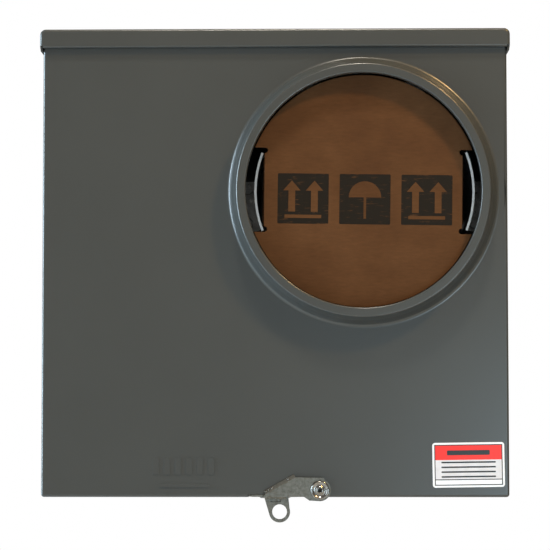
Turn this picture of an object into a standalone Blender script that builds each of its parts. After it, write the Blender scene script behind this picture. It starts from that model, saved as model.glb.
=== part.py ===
"""Ringless meter socket enclosure: a wall box with a lift-off cover, a meter opening and its jaws.

The back face of the box lies in the plane y = 0 and the front looks along -Y. Every number is in
millimetres, and the solids are written in metres.
"""

import math

import bmesh
import bpy
from mathutils import Matrix, Vector

MM = 0.001

# Sheet metal box
SHEET = 1.6
GAP = 0.4
COVER_WIDTH = 330.0
HEIGHT = 332.0
COVER_DEPTH = 121.0
COVER_FLANGE = 18.0
COVER_OVERLAP = 9.0
COVER_SLACK = 0.6
FOLD_SLACK = 0.5
FRONT_SLACK = 1.4
BEND_RADIUS = 3.0
PAN_FLANGE = 10.0
PAN_RELIEF = (140.0, 170.0)
END_FLANGE = 12.3
CAP_WIDTH = 334.3
CAP_CORNER = 4.2
CAP_REAR_HEIGHT = 26.0
CAP_SKIRT = 2.4
LIP_HEIGHT = 13.3
LIP_PROUD = 4.05
HEM_HEIGHT = 7.0
HEM_SLACK = 0.9
JOGGLE_DEPTH = 99.5
MOUNTING_HOLE_RADIUS = 3.6
FIXING_HOLE_RADIUS = 2.4

# Raised ring round the meter opening
RING_X = 62.7
RING_Z = 49.9
OPENING_RADIUS = 83.0
SHOULDER_RADIUS = 89.2
FOOT_RADIUS = 95.2
RING_HEIGHT = 15.0
RING_RETURN = 6.0
RING_STEPS = 64

# Seal latch
NOTCH = (-18.5, 20.4)
HASP_FRONT = (-16.4, 15.5)
HASP_SHEET = 1.6
HASP_LENGTH = 22.0
HASP_SHOULDER = 4.0
HASP_TAB = (-5.5, 9.5)
RIVET_X = 31.8
RIVET_Z = -160.9
RIVET_SHANK_RADIUS = 2.6
LEVER_STANDOFF = 4.2
LEVER_SHEET = 1.4
LEVER_NOSE_RADIUS = 7.7
TAB_STANDOFF = 1.9
TAB_RADIUS = 7.4
LATCH_HOLE_X = 3.4
LATCH_HOLE_Z = -176.2
LATCH_HOLE_RADIUS = 5.45

# Label
LABEL_SIZE = (50.6, 31.4)
LABEL_CENTRE = (136.3, -143.3)
LABEL_TILT = math.radians(-0.8)
LABEL_THICKNESS = 0.3

# Cardboard insert, and the supports behind it that carry a meter's rim
INSERT_RADIUS = 82.6
INSERT_FRONT = 125.5
INSERT_THICKNESS = 3.0
INSERT_TURN = math.radians(0.8)
FOLD_LINE = 70.0
SLOT_HALF_HEIGHT = 29.0
SLOT_RELIEF = 1.5
FLAP_HALF_HEIGHT = 22.0
FLAP_DEPTH = 9.9
FLAP_LEAN = 1.3
SUPPORT_X = RING_X + 1.0
SUPPORT_RADIUS = 78.2
SUPPORT_DEPTH = 120.0
SUPPORT_ANGLE = 21.0
SUPPORT_LEG_ANGLE = 11.0
SUPPORT_SHOULDER = 72.0
SUPPORT_FOOT = (15.0, 19.0)

# Jaws, their base and their lugs
JAW_SPACING_X = 74.6
JAW_SPACING_Z = 89.0
BASE_HALF = (56.0, 88.0)
BASE_FLOOR = 14.0
BASE_TOP = 40.0
BARRIER_TOP = 62.0
BASE_SCREW_X = 49.0
BASE_SCREW_Z = 16.0
JAW_TOP = 103.0
JAW_WIDTH = 19.0
JAW_THROAT = (1.3, 92.5)
STRIP_WIDTH = 18.0
STRIP_SHEET = 2.5
SPRING_DEPTH = (80.5, 86.5)
SPRING_HALF = (6.9, 11.0)
SPRING_SHEET = 1.1
LUG_OFFSET = 30.0
LUG_WIDTH = 20.0
LUG_DEPTH = 22.0
LUG_LENGTH = 23.0
LUG_WIRE_RADIUS = 6.0
LUG_THREAD_RADIUS = 4.9
LUG_SCREW_RADIUS = 4.4

# Neutral bar, grounding lug and the closed hub opening
NEUTRAL_X = -75.0
NEUTRAL_BAR = (18.0, 22.1, 90.0)
NEUTRAL_Z = 50.0
NEUTRAL_SEAT = 31.6
NEUTRAL_SCREW_PITCH = 32.0
BRACKET_HALF_HEIGHT = 30.0
BRACKET_SCREW_OFFSET = 15.0
GROUND_PLACE = (-100.0, -105.0)
GROUND_BOLT_OFFSET = 17.0
HUB_Y = -52.0
HUB_HALF = 40.0
HUB_SCREW_OFFSET = 33.0
HUB_OPENING_RADIUS = 29.0
GASKET = 1.0
KNOCKOUTS = (
    ((-95, -58), 30), ((-95, -58), 22), ((0, -55), 22), ((0, -55), 16), ((95, -58), 30), ((95, -58), 22),
)
KNOCKOUT_GROOVE = (1.0, 0.8)

# Levels and half widths that follow from them
TOP = HEIGHT / 2
BOTTOM = -HEIGHT / 2
COVER_FRONT = -COVER_DEPTH
COVER_BACK = COVER_FRONT + SHEET
COVER_HALF = COVER_WIDTH / 2
CAP_HALF = CAP_WIDTH / 2
CAP_FRONT = COVER_FRONT - LIP_PROUD
LIP_EDGE = TOP - LIP_HEIGHT
COVER_TOP = LIP_EDGE + COVER_OVERLAP
CREST = COVER_FRONT - RING_HEIGHT
PAN_HALF = COVER_HALF - SHEET - COVER_SLACK
PAN_FRONT = COVER_BACK + FRONT_SLACK
PAN_TOP = TOP - SHEET - GAP
END_OUTER = BOTTOM + SHEET + FOLD_SLACK
END_INNER = END_OUTER + SHEET
PAN_BOTTOM = END_INNER + GAP
FOOT_LEVEL = -SHEET - GAP
HASP_TOP = END_OUTER - 0.3
HASP_BOTTOM = HASP_TOP - HASP_SHEET
LEVER_FRONT = COVER_FRONT - LEVER_STANDOFF
LEVER_BACK = LEVER_FRONT + LEVER_SHEET
SUPPORT_FRONT = -SUPPORT_DEPTH
STRIP_TOP = -BASE_TOP - 0.3
LUG_BACK = STRIP_TOP - STRIP_SHEET - 0.3
LUG_FRONT = LUG_BACK - LUG_DEPTH
PIVOT = (RIVET_X, RIVET_Z)
LATCH_HOLE = (LATCH_HOLE_X, LATCH_HOLE_Z)
RING_CENTRE = (RING_X, RING_Z)
TILT_AXIS = (0.0, COVER_FRONT + BEND_RADIUS, LIP_EDGE)
LATCH_AXIS = (RIVET_X, COVER_FRONT, RIVET_Z)

# Holes and screws that two pieces share
MOUNTING_PLACES = ((-140, 132), (140, 132), (-140, -132), (140, -132), (0, 140))
JAW_PLACES = ((-1, 1), (1, 1), (-1, -1), (1, -1))
CORNERS = ((-1, -1), (-1, 1), (1, -1), (1, 1))
SUPPORT_SCREW_PLACES = [(SUPPORT_X + side * 86.5, RING_Z + end * 13) for side, end in CORNERS]
BASE_SCREW_PLACES = [(RING_X + side * BASE_SCREW_X, RING_Z + end * BASE_SCREW_Z) for side, end in CORNERS]
HUB_SCREW_PLACES = [(-side * HUB_SCREW_OFFSET, HUB_Y + end * HUB_SCREW_OFFSET) for side, end in CORNERS]
BRACKET_SCREW_PLACES = [(NEUTRAL_X - 18, NEUTRAL_Z + end * BRACKET_SCREW_OFFSET) for end in (-1, 1)]
NEUTRAL_SCREW_PLACES = [(NEUTRAL_X, NEUTRAL_Z + end * NEUTRAL_SCREW_PITCH) for end in (-1, 0, 1)]
HASP_RIVET_PLACES = ((-8.0, -107.0), (8.0, -107.0))
GROUND_BOLT = (GROUND_PLACE[0], GROUND_PLACE[1] + GROUND_BOLT_OFFSET)
FIXING_PLACES = SUPPORT_SCREW_PLACES + BASE_SCREW_PLACES + BRACKET_SCREW_PLACES + [GROUND_BOLT]

# Finishes: name, colour, metallic, roughness
PAINT = ("grey_enamel", (0.079, 0.083, 0.072), 0.0, 0.38)
ZINC = ("zinc_plated_steel", (0.55, 0.56, 0.55), 1.0, 0.35)
STEEL = ("stainless_steel", (0.42, 0.40, 0.37), 1.0, 0.4)
RIVET = ("bright_rivet_steel", (0.70, 0.70, 0.70), 1.0, 0.2)
ALUMINIUM = ("extruded_aluminium", (0.66, 0.67, 0.68), 1.0, 0.42)
TIN = ("tin_plated_copper", (0.60, 0.60, 0.58), 1.0, 0.38)
SPRING = ("spring_steel", (0.34, 0.34, 0.36), 1.0, 0.32)
THERMOSET = ("black_thermoset", (0.012, 0.012, 0.013), 0.0, 0.45)
RUBBER = ("gasket_rubber", (0.02, 0.02, 0.02), 0.0, 0.8)
CARDBOARD = ("kraft_cardboard", (0.12, 0.05, 0.02), 0.0, 0.9)
PAPER = ("printed_label", (0.75, 0.75, 0.74), 0.0, 0.45)

# The two axes of the drawing plane, then the axis that an outline is extruded or turned along.
PLANES = {"X": (1, 2, 0), "Y": (0, 2, 1), "Z": (0, 1, 2)}


def arc(centre, radius, start, end, steps):
    """Points along an arc, both ends included, with angles in degrees."""
    points = []
    for step in range(steps + 1):
        angle = math.radians(start + (end - start) * step / steps)
        points.append((centre[0] + radius * math.cos(angle), centre[1] + radius * math.sin(angle)))
    return points


def circle(centre, radius, steps):
    return arc(centre, radius, 0, 360, steps)[:-1]


def rectangle(across, up):
    return [(across[0], up[0]), (across[1], up[0]), (across[1], up[1]), (across[0], up[1])]


def centred(centre, width, height):
    across = (centre[0] - width / 2, centre[0] + width / 2)
    return rectangle(across, (centre[1] - height / 2, centre[1] + height / 2))


def rounded(outline, radius, steps=3):
    """The outline with each corner turned into an arc of this radius."""
    points = []
    for index, corner in enumerate(outline):
        here = Vector(corner)
        before = (Vector(outline[index - 1]) - here).normalized()
        after = (Vector(outline[(index + 1) % len(outline)]) - here).normalized()
        half = before.angle(after) / 2
        reach = radius / math.tan(half)
        middle = here + (before + after).normalized() * (radius / math.sin(half))
        first = here + before * reach - middle
        last = here + after * reach - middle
        for step in range(steps + 1):
            spoke = first.lerp(last, step / steps).normalized() * radius
            points.append(tuple(middle + spoke))
    return points


def add_object(name, mesh_data):
    bmesh.ops.recalc_face_normals(mesh_data, faces=mesh_data.faces)
    bmesh.ops.scale(mesh_data, vec=(MM, MM, MM), verts=mesh_data.verts)
    mesh = bpy.data.meshes.new(name)
    mesh_data.to_mesh(mesh)
    mesh_data.free()
    item = bpy.data.objects.new(name, mesh)
    bpy.context.scene.collection.objects.link(item)
    return item


def prism(name, outline, axis, span):
    """An outline extruded along one axis, between the two places in span."""
    first, second, along = PLANES[axis]
    mesh_data = bmesh.new()
    corners = []
    for point in outline:
        place = [0.0, 0.0, 0.0]
        place[first], place[second], place[along] = point[0], point[1], span[0]
        corners.append(mesh_data.verts.new(place))
    face = mesh_data.faces.new(corners)
    raised = bmesh.ops.extrude_face_region(mesh_data, geom=[face])["geom"]
    shift = Vector((0, 0, 0))
    shift[along] = span[1] - span[0]
    moved = [item for item in raised if isinstance(item, bmesh.types.BMVert)]
    bmesh.ops.translate(mesh_data, vec=shift, verts=moved)
    return add_object(name, mesh_data)


def block(name, across, deep, up):
    return prism(name, rectangle(across, deep), "Z", up)


def mirrored(side, near, far):
    """The two places across the box, in order, on the left (-1) or the right (1)."""
    return sorted((side * near, side * far))


def turned(name, profile, centre, axis, steps, closed=False):
    """A profile of (radius, place along the axis) turned about a line through the centre."""
    first, second, along = PLANES[axis]
    mesh_data = bmesh.new()
    rings = []
    for radius, place_along in profile:
        ring = []
        for step in range(steps if radius > 0 else 1):
            angle = 2 * math.pi * step / steps
            place = [0.0, 0.0, 0.0]
            place[first] = centre[0] + radius * math.cos(angle)
            place[second] = centre[1] + radius * math.sin(angle)
            place[along] = place_along
            ring.append(mesh_data.verts.new(place))
        rings.append(ring)
    pairs = list(zip(rings, rings[1:]))
    if closed:
        pairs.append((rings[-1], rings[0]))
    for ring, following in pairs:
        for step in range(steps):
            corners = []
            for loop, index in ((ring, step), (ring, step + 1), (following, step + 1), (following, step)):
                corner = loop[index % len(loop)]
                if corner not in corners:
                    corners.append(corner)
            mesh_data.faces.new(corners)
    return add_object(name, mesh_data)


def combine(target, tool, operation):
    """Joins or cuts with an exact Boolean, and keeps only the result."""
    modifier = target.modifiers.new(operation.title(), "BOOLEAN")
    modifier.operation = operation
    modifier.solver = "EXACT"
    modifier.object = tool
    bpy.context.view_layer.update()
    graph = bpy.context.evaluated_depsgraph_get()
    mesh = bpy.data.meshes.new_from_object(target.evaluated_get(graph))
    target.modifiers.clear()
    target.data = mesh
    bpy.data.objects.remove(tool, do_unlink=True)


def fuse(target, *tools):
    for tool in tools:
        combine(target, tool, "UNION")
    return target


def cut(target, *tools):
    for tool in tools:
        combine(target, tool, "DIFFERENCE")
    return target


def drill(target, places, radius, axis, span, steps=14):
    """Round holes through the target at each place in the plane across the axis."""
    for place in places:
        cut(target, prism("drill", circle(place, radius, steps), axis, span))
    return target


def finish(item, material, smooth=True):
    """Gives the piece its material, and soft shading across shallow edges."""
    name, color, metallic, roughness = material
    surface = bpy.data.materials.get(name)
    if surface is None:
        surface = bpy.data.materials.new(name)
        surface.use_nodes = True
        settings = surface.node_tree.nodes["Principled BSDF"].inputs
        settings["Base Color"].default_value = (*color, 1.0)
        settings["Metallic"].default_value = metallic
        settings["Roughness"].default_value = roughness
        surface.diffuse_color = (*color, 1.0)
    item.data.materials.clear()
    item.data.materials.append(surface)
    if smooth:
        item.data.shade_smooth()
        item.data.set_sharp_from_angle(angle=math.radians(32))
    return item


def hang(item, axis_point):
    """Moves the piece's origin to a point on its joint's axis and leaves its shape where it is."""
    origin = Vector(axis_point) * MM
    item.data.transform(Matrix.Translation(-origin))
    item.location = origin
    return item


def screw(name, place, axis, head, shank, tip, drive="slot"):
    """A screw along an axis: head is (radius, outer end, inner end), shank a radius that ends at tip."""
    head_radius, outer, inner = head
    lean = 0.2 * (inner - outer)
    profile = [
        (0, outer), (head_radius - abs(lean), outer), (head_radius, outer + lean), (head_radius, inner),
        (shank, inner), (shank, tip), (0, tip),
    ]
    item = turned(name, profile, place, axis, 12)
    recess = 0.45 * (inner - outer)
    if drive == "slot":
        sides = centred(place, 4 * head_radius, 1.2)
    else:
        sides = circle(place, 0.55 * head_radius, 6)
    cut(item, prism("drive", sides, axis, (outer - recess, outer + recess)))
    return finish(item, ZINC)


def make_back_pan():
    """Back and both side walls of the box, folded from one sheet, with stiffening flanges at the front."""
    inner = PAN_HALF - SHEET
    lip = PAN_HALF - PAN_FLANGE
    radius = BEND_RADIUS
    outline = [
        (-lip, PAN_FRONT), (-PAN_HALF, PAN_FRONT), *arc((-PAN_HALF + radius, -radius), radius, 180, 90, 3),
        *arc((PAN_HALF - radius, -radius), radius, 90, 0, 3), (PAN_HALF, PAN_FRONT), (lip, PAN_FRONT),
        (lip, PAN_FRONT + SHEET), (inner, PAN_FRONT + SHEET), (inner, -SHEET),
        (-inner, -SHEET), (-inner, PAN_FRONT + SHEET), (-lip, PAN_FRONT + SHEET),
    ]
    pan = prism("back_pan", outline, "Z", (PAN_BOTTOM, PAN_TOP))
    for side in (-1, 1):
        # clears the tilted cover's top edge
        across = mirrored(side, *PAN_RELIEF)
        cut(pan, block("relief", across, (PAN_FRONT - 5, PAN_FRONT + 11), (LIP_EDGE - 2.5, TOP)))
    drill(pan, MOUNTING_PLACES, MOUNTING_HOLE_RADIUS, "Y", (-4, 2))
    drill(pan, FIXING_PLACES, FIXING_HOLE_RADIUS, "Y", (-4, 2), 10)
    return finish(pan, PAINT)


def cap_section(half, corner, edge):
    """Outer outline of the cap seen from the front, from its lower left end to its lower right end."""
    return [
        *arc((half - corner, TOP - corner), corner, 0, 90, 4),
        *arc((-half + corner, TOP - corner), corner, 90, 180, 4),
        (-half, edge), (half, edge),
    ]


def make_top_end_wall():
    """The top cap, whose front lip hangs over the cover's top edge and whose sides wrap the cover's."""
    back_half = PAN_HALF + GAP + SHEET
    joggle = -JOGGLE_DEPTH
    skirt = LIP_EDGE - CAP_SKIRT
    rear_edge = TOP - CAP_REAR_HEIGHT
    inner = CAP_HALF - SHEET
    taper = SHEET / 2
    wrap = cap_section(CAP_HALF, CAP_CORNER, LIP_EDGE)[:-1] + [
        (-CAP_HALF + taper, skirt), (-inner, skirt),
        *arc((-CAP_HALF + CAP_CORNER, TOP - CAP_CORNER), CAP_CORNER - SHEET, 180, 90, 3),
        *arc((CAP_HALF - CAP_CORNER, TOP - CAP_CORNER), CAP_CORNER - SHEET, 90, 0, 3),
        (inner, skirt), (CAP_HALF - taper, skirt), (CAP_HALF, LIP_EDGE),
    ]
    cap = prism("top_end_wall", wrap, "Y", (CAP_FRONT + 1, joggle + SHEET))
    lip = prism("lip", cap_section(CAP_HALF, CAP_CORNER, LIP_EDGE), "Y", (CAP_FRONT, CAP_FRONT + SHEET))
    hem_back = COVER_FRONT - HEM_SLACK
    hem_round = 0.75
    hem = prism(
        "hem",
        [(CAP_FRONT + 0.5, LIP_EDGE + 0.01),
         *arc((hem_back - hem_round, LIP_EDGE + hem_round + 0.05), hem_round, -90, 0, 3),
         (hem_back, LIP_EDGE + HEM_HEIGHT), (CAP_FRONT + 0.5, LIP_EDGE + HEM_HEIGHT)],
        "X",
        (-CAP_HALF + 0.5, CAP_HALF - 0.5),
    )
    rear = [
        (back_half, TOP), (-back_half, TOP), (-back_half, rear_edge), (-back_half + SHEET, rear_edge),
        (-back_half + SHEET, TOP - SHEET), (back_half - SHEET, TOP - SHEET), (back_half - SHEET, rear_edge),
        (back_half, rear_edge),
    ]
    rear_part = prism("rear", rear, "Y", (joggle, -0.3))
    back_flange = block("flange", (-150, 150), (FOOT_LEVEL - SHEET, FOOT_LEVEL), (TOP - 16, TOP - 0.5))
    fuse(cap, lip, hem, rear_part, back_flange)
    near = back_half - SHEET + 0.2
    for side in (-1, 1):
        bend = arc((CAP_HALF - CAP_CORNER, TOP - CAP_CORNER), CAP_CORNER - 0.2, 0, 80, 3)
        corner = [(near, skirt + 0.2), (CAP_HALF - 0.2, skirt + 0.2), *bend, (near, TOP - 0.5)]
        outline = [(side * across, up) for across, up in corner]
        fuse(cap, prism("step", outline, "Y", (joggle + 0.1, joggle + SHEET - 0.1)))
    drill(cap, [(0, HUB_Y)], HUB_OPENING_RADIUS, "Z", (TOP - 5, TOP + 3), 32)
    drill(cap, HUB_SCREW_PLACES, 2.7, "Z", (TOP - 5, TOP + 3), 10)
    return finish(cap, PAINT)


def make_bottom_end_wall():
    """The bottom wall, a tray inside the pan, with ring-shaped knockout grooves on its underside."""
    inner = PAN_HALF - SHEET - GAP
    front = PAN_FRONT + GAP
    up = (END_INNER - 0.5, END_INNER + END_FLANGE)
    wall = block("bottom_end_wall", (-PAN_HALF, PAN_HALF), (front, -0.3), (END_OUTER, END_INNER))
    for side in (-1, 1):
        fuse(wall, block("side", mirrored(side, inner - SHEET, inner), (front + 9.6, -6), up))
    fuse(wall, block("front", (-148, 148), (front, front + SHEET), up))
    fuse(wall, block("back", (-150, 150), (FOOT_LEVEL - SHEET, FOOT_LEVEL), up))
    width, depth = KNOCKOUT_GROOVE
    for centre, radius in KNOCKOUTS:
        inside, outside = radius - width / 2, radius + width / 2
        groove = [
            (inside, END_OUTER - 1), (outside, END_OUTER - 1),
            (outside, END_OUTER + depth), (inside, END_OUTER + depth),
        ]
        cut(wall, turned("groove", groove, centre, "Z", 24, closed=True))
    drill(wall, HASP_RIVET_PLACES, 2.3, "Z", (BOTTOM - 2, BOTTOM + 6), 10)
    return finish(wall, PAINT)


def make_hub_closing():
    """Gasket, plate and four screws that close the conduit hub opening in the top."""
    gasket_bottom = TOP + 0.3
    plate_bottom = gasket_bottom + GASKET + 0.3
    plate_top = plate_bottom + SHEET
    sides = rounded(centred((0, HUB_Y), 2 * HUB_HALF, 2 * HUB_HALF), 8)
    drilling = (TOP - 1, plate_top + 3)
    gasket = prism("hub_gasket", sides, "Z", (gasket_bottom, gasket_bottom + GASKET))
    drill(gasket, [(0, HUB_Y)], HUB_OPENING_RADIUS - 1, "Z", drilling, 32)
    drill(gasket, HUB_SCREW_PLACES, 2.7, "Z", drilling, 10)
    finish(gasket, RUBBER)
    plate = prism("hub_closing_plate", sides, "Z", (plate_bottom, plate_top))
    dome = [(0, plate_top - 0.4), (27, plate_top - 0.4), (24.5, plate_top + 1.2), (0, plate_top + 1.2)]
    fuse(plate, turned("dome", dome, (0, HUB_Y), "Z", 32))
    drill(plate, HUB_SCREW_PLACES, 2.7, "Z", drilling, 10)
    finish(plate, PAINT)
    for number, place in enumerate(HUB_SCREW_PLACES, 1):
        head = (5.0, plate_top + 2.2, plate_top + 0.3)
        screw(f"hub_screw_{number}", place, "Z", head, 2.3, TOP - 6, "hex")


def rounded_tab(centre, radius, top, steps=10):
    """Outline of a hanging tab: straight sides that meet a round end, tangent to it."""
    sides = []
    for corner, sign in ((top[0], -1), (top[1], 1)):
        away = Vector(corner) - Vector(centre)
        turn = math.acos(radius / away.length)
        sides.append(math.degrees(math.atan2(away.y, away.x) - sign * turn))
    start, end = sides[1], sides[0]
    while end > start:
        end -= 360
    return [top[0], top[1], *arc(centre, radius, start, end, steps)]


def make_hasp():
    """The fixed half of the latch: a plate riveted under the bottom wall, with a tab for the seal."""
    shoulder = COVER_FRONT + HASP_SHOULDER
    wide = (NOTCH[0] + GAP, NOTCH[1] - GAP)
    rear = COVER_FRONT + HASP_LENGTH
    outline = [
        (HASP_FRONT[0], COVER_FRONT), (HASP_FRONT[1], COVER_FRONT), (HASP_FRONT[1], shoulder),
        (wide[1], shoulder), (wide[1], rear), (wide[0], rear), (wide[0], shoulder),
        (HASP_FRONT[0], shoulder),
    ]
    hasp = prism("latch_hasp", outline, "Z", (HASP_BOTTOM, HASP_TOP))
    top = [(across, HASP_BOTTOM + SHEET / 2) for across in HASP_TAB]
    tab_sheet = 1.2
    tab = rounded_tab(LATCH_HOLE, TAB_RADIUS - 0.2, top)
    fuse(hasp, prism("tab", tab, "Y", (COVER_FRONT, COVER_FRONT + tab_sheet)))
    drill(hasp, [LATCH_HOLE], LATCH_HOLE_RADIUS - 0.2, "Y", (COVER_FRONT - 2, COVER_FRONT + 4), 18)
    drill(hasp, HASP_RIVET_PLACES, 2.3, "Z", (BOTTOM - 4, BOTTOM + 6), 10)
    finish(hasp, STEEL)
    for number, place in enumerate(HASP_RIVET_PLACES, 1):
        profile = [
            (0, HASP_BOTTOM - 1.5), (2.2, HASP_BOTTOM - 1.4), (3.8, HASP_BOTTOM - 0.3),
            (2.0, HASP_BOTTOM - 0.3), (2.0, END_INNER + 0.3), (3.4, END_INNER + 0.3),
            (3.0, END_INNER + 1.1), (0, END_INNER + 1.2),
        ]
        finish(turned(f"hasp_rivet_{number}", profile, place, "Z", 12), RIVET)


def cover_channel(rear):
    """Section of the cover's front and both sides, seen from above."""
    half = COVER_HALF
    inner = half - SHEET
    radius = BEND_RADIUS
    small = radius - SHEET
    depth = COVER_FRONT + radius
    return [
        *arc((-half + radius, depth), radius, 180, 270, 4),
        *arc((half - radius, depth), radius, 270, 360, 4),
        (half, rear), (inner, rear), *arc((half - radius, depth), small, 360, 270, 3),
        *arc((-half + radius, depth), small, 270, 180, 3), (-inner, rear), (-half, rear),
    ]


def cover_fold(rear):
    """Section of the cover's bottom fold, with a tongue that runs into the front sheet."""
    radius = BEND_RADIUS
    bend = (COVER_FRONT + radius, BOTTOM + radius)
    tongue = BOTTOM + radius + 1.0
    return [
        (COVER_FRONT + 0.4, tongue), *arc(bend, radius, 180, 270, 4), (rear, BOTTOM),
        (rear, BOTTOM + SHEET), *arc(bend, radius - SHEET, 270, 180, 3), (COVER_BACK - 0.4, tongue),
    ]


def ring_section():
    """Section of the raised ring: up the slope, over the crest and back in at the opening."""
    foot, shoulder, opening = FOOT_RADIUS, SHOULDER_RADIUS, OPENING_RADIUS
    back = CREST + RING_RETURN
    return [
        (foot + 1.9, COVER_FRONT + 0.1), (foot + 0.5, COVER_FRONT - 0.3), (foot - 0.7, COVER_FRONT - 1.6),
        (shoulder + 1.3, CREST + 2.2), (shoulder, CREST + 0.6), (shoulder - 1.6, CREST),
        (opening + 1.4, CREST), (opening + 0.4, CREST + 0.4), (opening, CREST + 1.4),
        (opening, back), (opening + SHEET, back),
        (opening + SHEET, CREST + 2.0), (shoulder - 2.0, CREST + SHEET), (shoulder - 0.3, CREST + 2.6),
        (foot - 2.2, COVER_FRONT - 1.0), (foot - 0.5, COVER_BACK - 0.1), (foot + 1.9, COVER_BACK - 0.1),
    ]


def make_cover():
    """The cover sheet: folded sides and bottom, a raised ring round the meter opening and a latch hole."""
    rear = COVER_FRONT + COVER_FLANGE
    radius = BEND_RADIUS
    through = (COVER_FRONT - 4, COVER_BACK + 4)
    cover = prism("cover", cover_channel(rear), "Z", (BOTTOM + radius - 0.5, COVER_TOP))
    fuse(cover, prism("fold", cover_fold(rear - 0.3), "X", (radius - COVER_HALF, COVER_HALF - radius)))
    cut(cover, block("notch", NOTCH, (COVER_FRONT - 4, rear + 2), (BOTTOM - 2, END_OUTER)))
    # a pocket in the bottom fold clears the rivet's flared end
    drill(cover, [PIVOT], RIVET_SHANK_RADIUS + 1.35, "Y", (COVER_BACK, COVER_BACK + 1.3), 16)
    drill(cover, [PIVOT], RIVET_SHANK_RADIUS + GAP, "Y", through, 16)
    drill(cover, [RING_CENTRE], FOOT_RADIUS + 0.9, "Y", through, RING_STEPS)
    fuse(cover, turned("ring", ring_section(), RING_CENTRE, "Y", RING_STEPS, closed=True))
    return hang(finish(cover, PAINT), TILT_AXIS)


def make_cover_label():
    """A plain label on the lower right of the cover, turned by about one degree."""
    outline = rounded(centred((0, 0), *LABEL_SIZE), 2.2, 2)
    back = COVER_FRONT - 0.35
    label = prism("cover_label", outline, "Y", (back - LABEL_THICKNESS, back))
    place = Matrix.Translation((LABEL_CENTRE[0] * MM, 0, LABEL_CENTRE[1] * MM))
    label.data.transform(place @ Matrix.Rotation(LABEL_TILT, 4, "Y"))
    return hang(finish(label, PAPER), TILT_AXIS)


def make_latch_rivet():
    """The hollow rivet that the latch lever turns on, with a collar that spaces it off the cover."""
    front = LEVER_FRONT
    head = [
        (0, front - 1.0), (1.4, front - 1.0), (1.5, front - 2.2), (2.8, front - 2.3), (4.2, front - 1.1),
        (5.0, front - 1.4), (5.8, front - 2.0), (6.6, front - 1.5), (6.7, front - 0.3), (2.8, front - 0.3),
    ]
    collar = [(2.8, front + 1.7), (4.6, front + 1.7), (4.6, COVER_FRONT - 0.3)]
    shank = [(RIVET_SHANK_RADIUS, COVER_FRONT - 0.3), (RIVET_SHANK_RADIUS, COVER_BACK + 0.3)]
    flare = [(3.6, COVER_BACK + 0.3), (3.3, COVER_BACK + 0.9), (0, COVER_BACK + 0.9)]
    rivet = turned("latch_rivet", head + collar + shank + flare, PIVOT, "Y", 20)
    return hang(finish(rivet, RIVET), TILT_AXIS)


def make_slanted_flange(toe, brow, front, fold):
    """The lever's flange along its slanting edge, folded back toward the cover."""
    along = (Vector(brow) - Vector(toe)).normalized()
    outward = Vector((-along.y, along.x))
    reach = 2.5
    mesh_data = bmesh.new()
    corners = []
    for start in (Vector(toe) + along * 0.8, Vector(brow) - along * 0.5):
        for depth, push in ((front, -0.6), (fold - 1.0, reach), (fold, reach), (LEVER_BACK, -0.6)):
            place = start + outward * push
            corners.append(mesh_data.verts.new((place.x, depth, place.y)))
    mesh_data.faces.new(corners[:4])
    mesh_data.faces.new(corners[:3:-1])
    for index in range(4):
        following = (index + 1) % 4
        side = (corners[index], corners[index + 4], corners[following + 4], corners[following])
        mesh_data.faces.new(side)
    return add_object("flange", mesh_data)


def make_latch_lever():
    """The swinging half of the latch: a plate with folded edges and a hanging tab for the seal."""
    heel = (-7.5, -166.0)
    toe = (-7.1, -164.2)
    brow = (15.0, -151.9)
    crown = (34.6, -152.3)
    chin = [(24.4, -168.2), (20.6, -165.6)]
    outline = [heel, toe, brow, crown, *arc(PIVOT, LEVER_NOSE_RADIUS, 62, -92, 9), *chin]
    lever = prism("latch_lever", outline, "Y", (LEVER_FRONT, LEVER_BACK))
    tab_front = COVER_FRONT - TAB_STANDOFF
    tab_back = tab_front + LEVER_SHEET
    tab = rounded_tab(LATCH_HOLE, TAB_RADIUS, [(-7.2, -166.2), (8.3, -166.2)], 14)
    fuse(lever, prism("tab", tab, "Y", (tab_front, tab_back)))
    joggle = [
        (LEVER_FRONT, -164.0), (tab_front, -167.0), (tab_back, -167.0), (tab_back, -166.0),
        (LEVER_BACK, -163.4), (LEVER_FRONT + 0.1, -162.6),
    ]
    fuse(lever, prism("joggle", joggle, "X", (-6.9, 8.1)))
    fold = COVER_FRONT - 0.7
    fuse(lever, make_slanted_flange(toe, brow, LEVER_FRONT, fold))
    return_up = (brow[1] - SHEET, brow[1] - 0.45)
    fuse(lever, block("return", (brow[0] + 1.0, crown[0] - 1.0), (LEVER_FRONT + 0.3, fold), return_up))
    through = (LEVER_FRONT - 4, COVER_FRONT + 4)
    drill(lever, [LATCH_HOLE], LATCH_HOLE_RADIUS, "Y", through, 18)
    drill(lever, [PIVOT], RIVET_SHANK_RADIUS + 0.6, "Y", through, 16)
    slot = rounded(rectangle((-3.0, 4.3), (-169.3, -167.5)), 0.85, 2)
    cut(lever, prism("slot", slot, "Y", through))
    return hang(finish(lever, STEEL), LATCH_AXIS)


def make_flap(side, front):
    """A flap folded back beside its slot, leaning a little toward the support outside it."""
    fold = side * FOLD_LINE
    tip = side * (FOLD_LINE + FLAP_LEAN)
    back = front + INSERT_THICKNESS + FLAP_DEPTH
    outline = [
        (fold - side * INSERT_THICKNESS, front + 0.5), (fold - side * 0.6, front + 0.5),
        (fold, front + 1.1), (tip, back), (tip - side * INSERT_THICKNESS, back),
    ]
    return prism("flap", outline, "Z", (-FLAP_HALF_HEIGHT, FLAP_HALF_HEIGHT))


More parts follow.
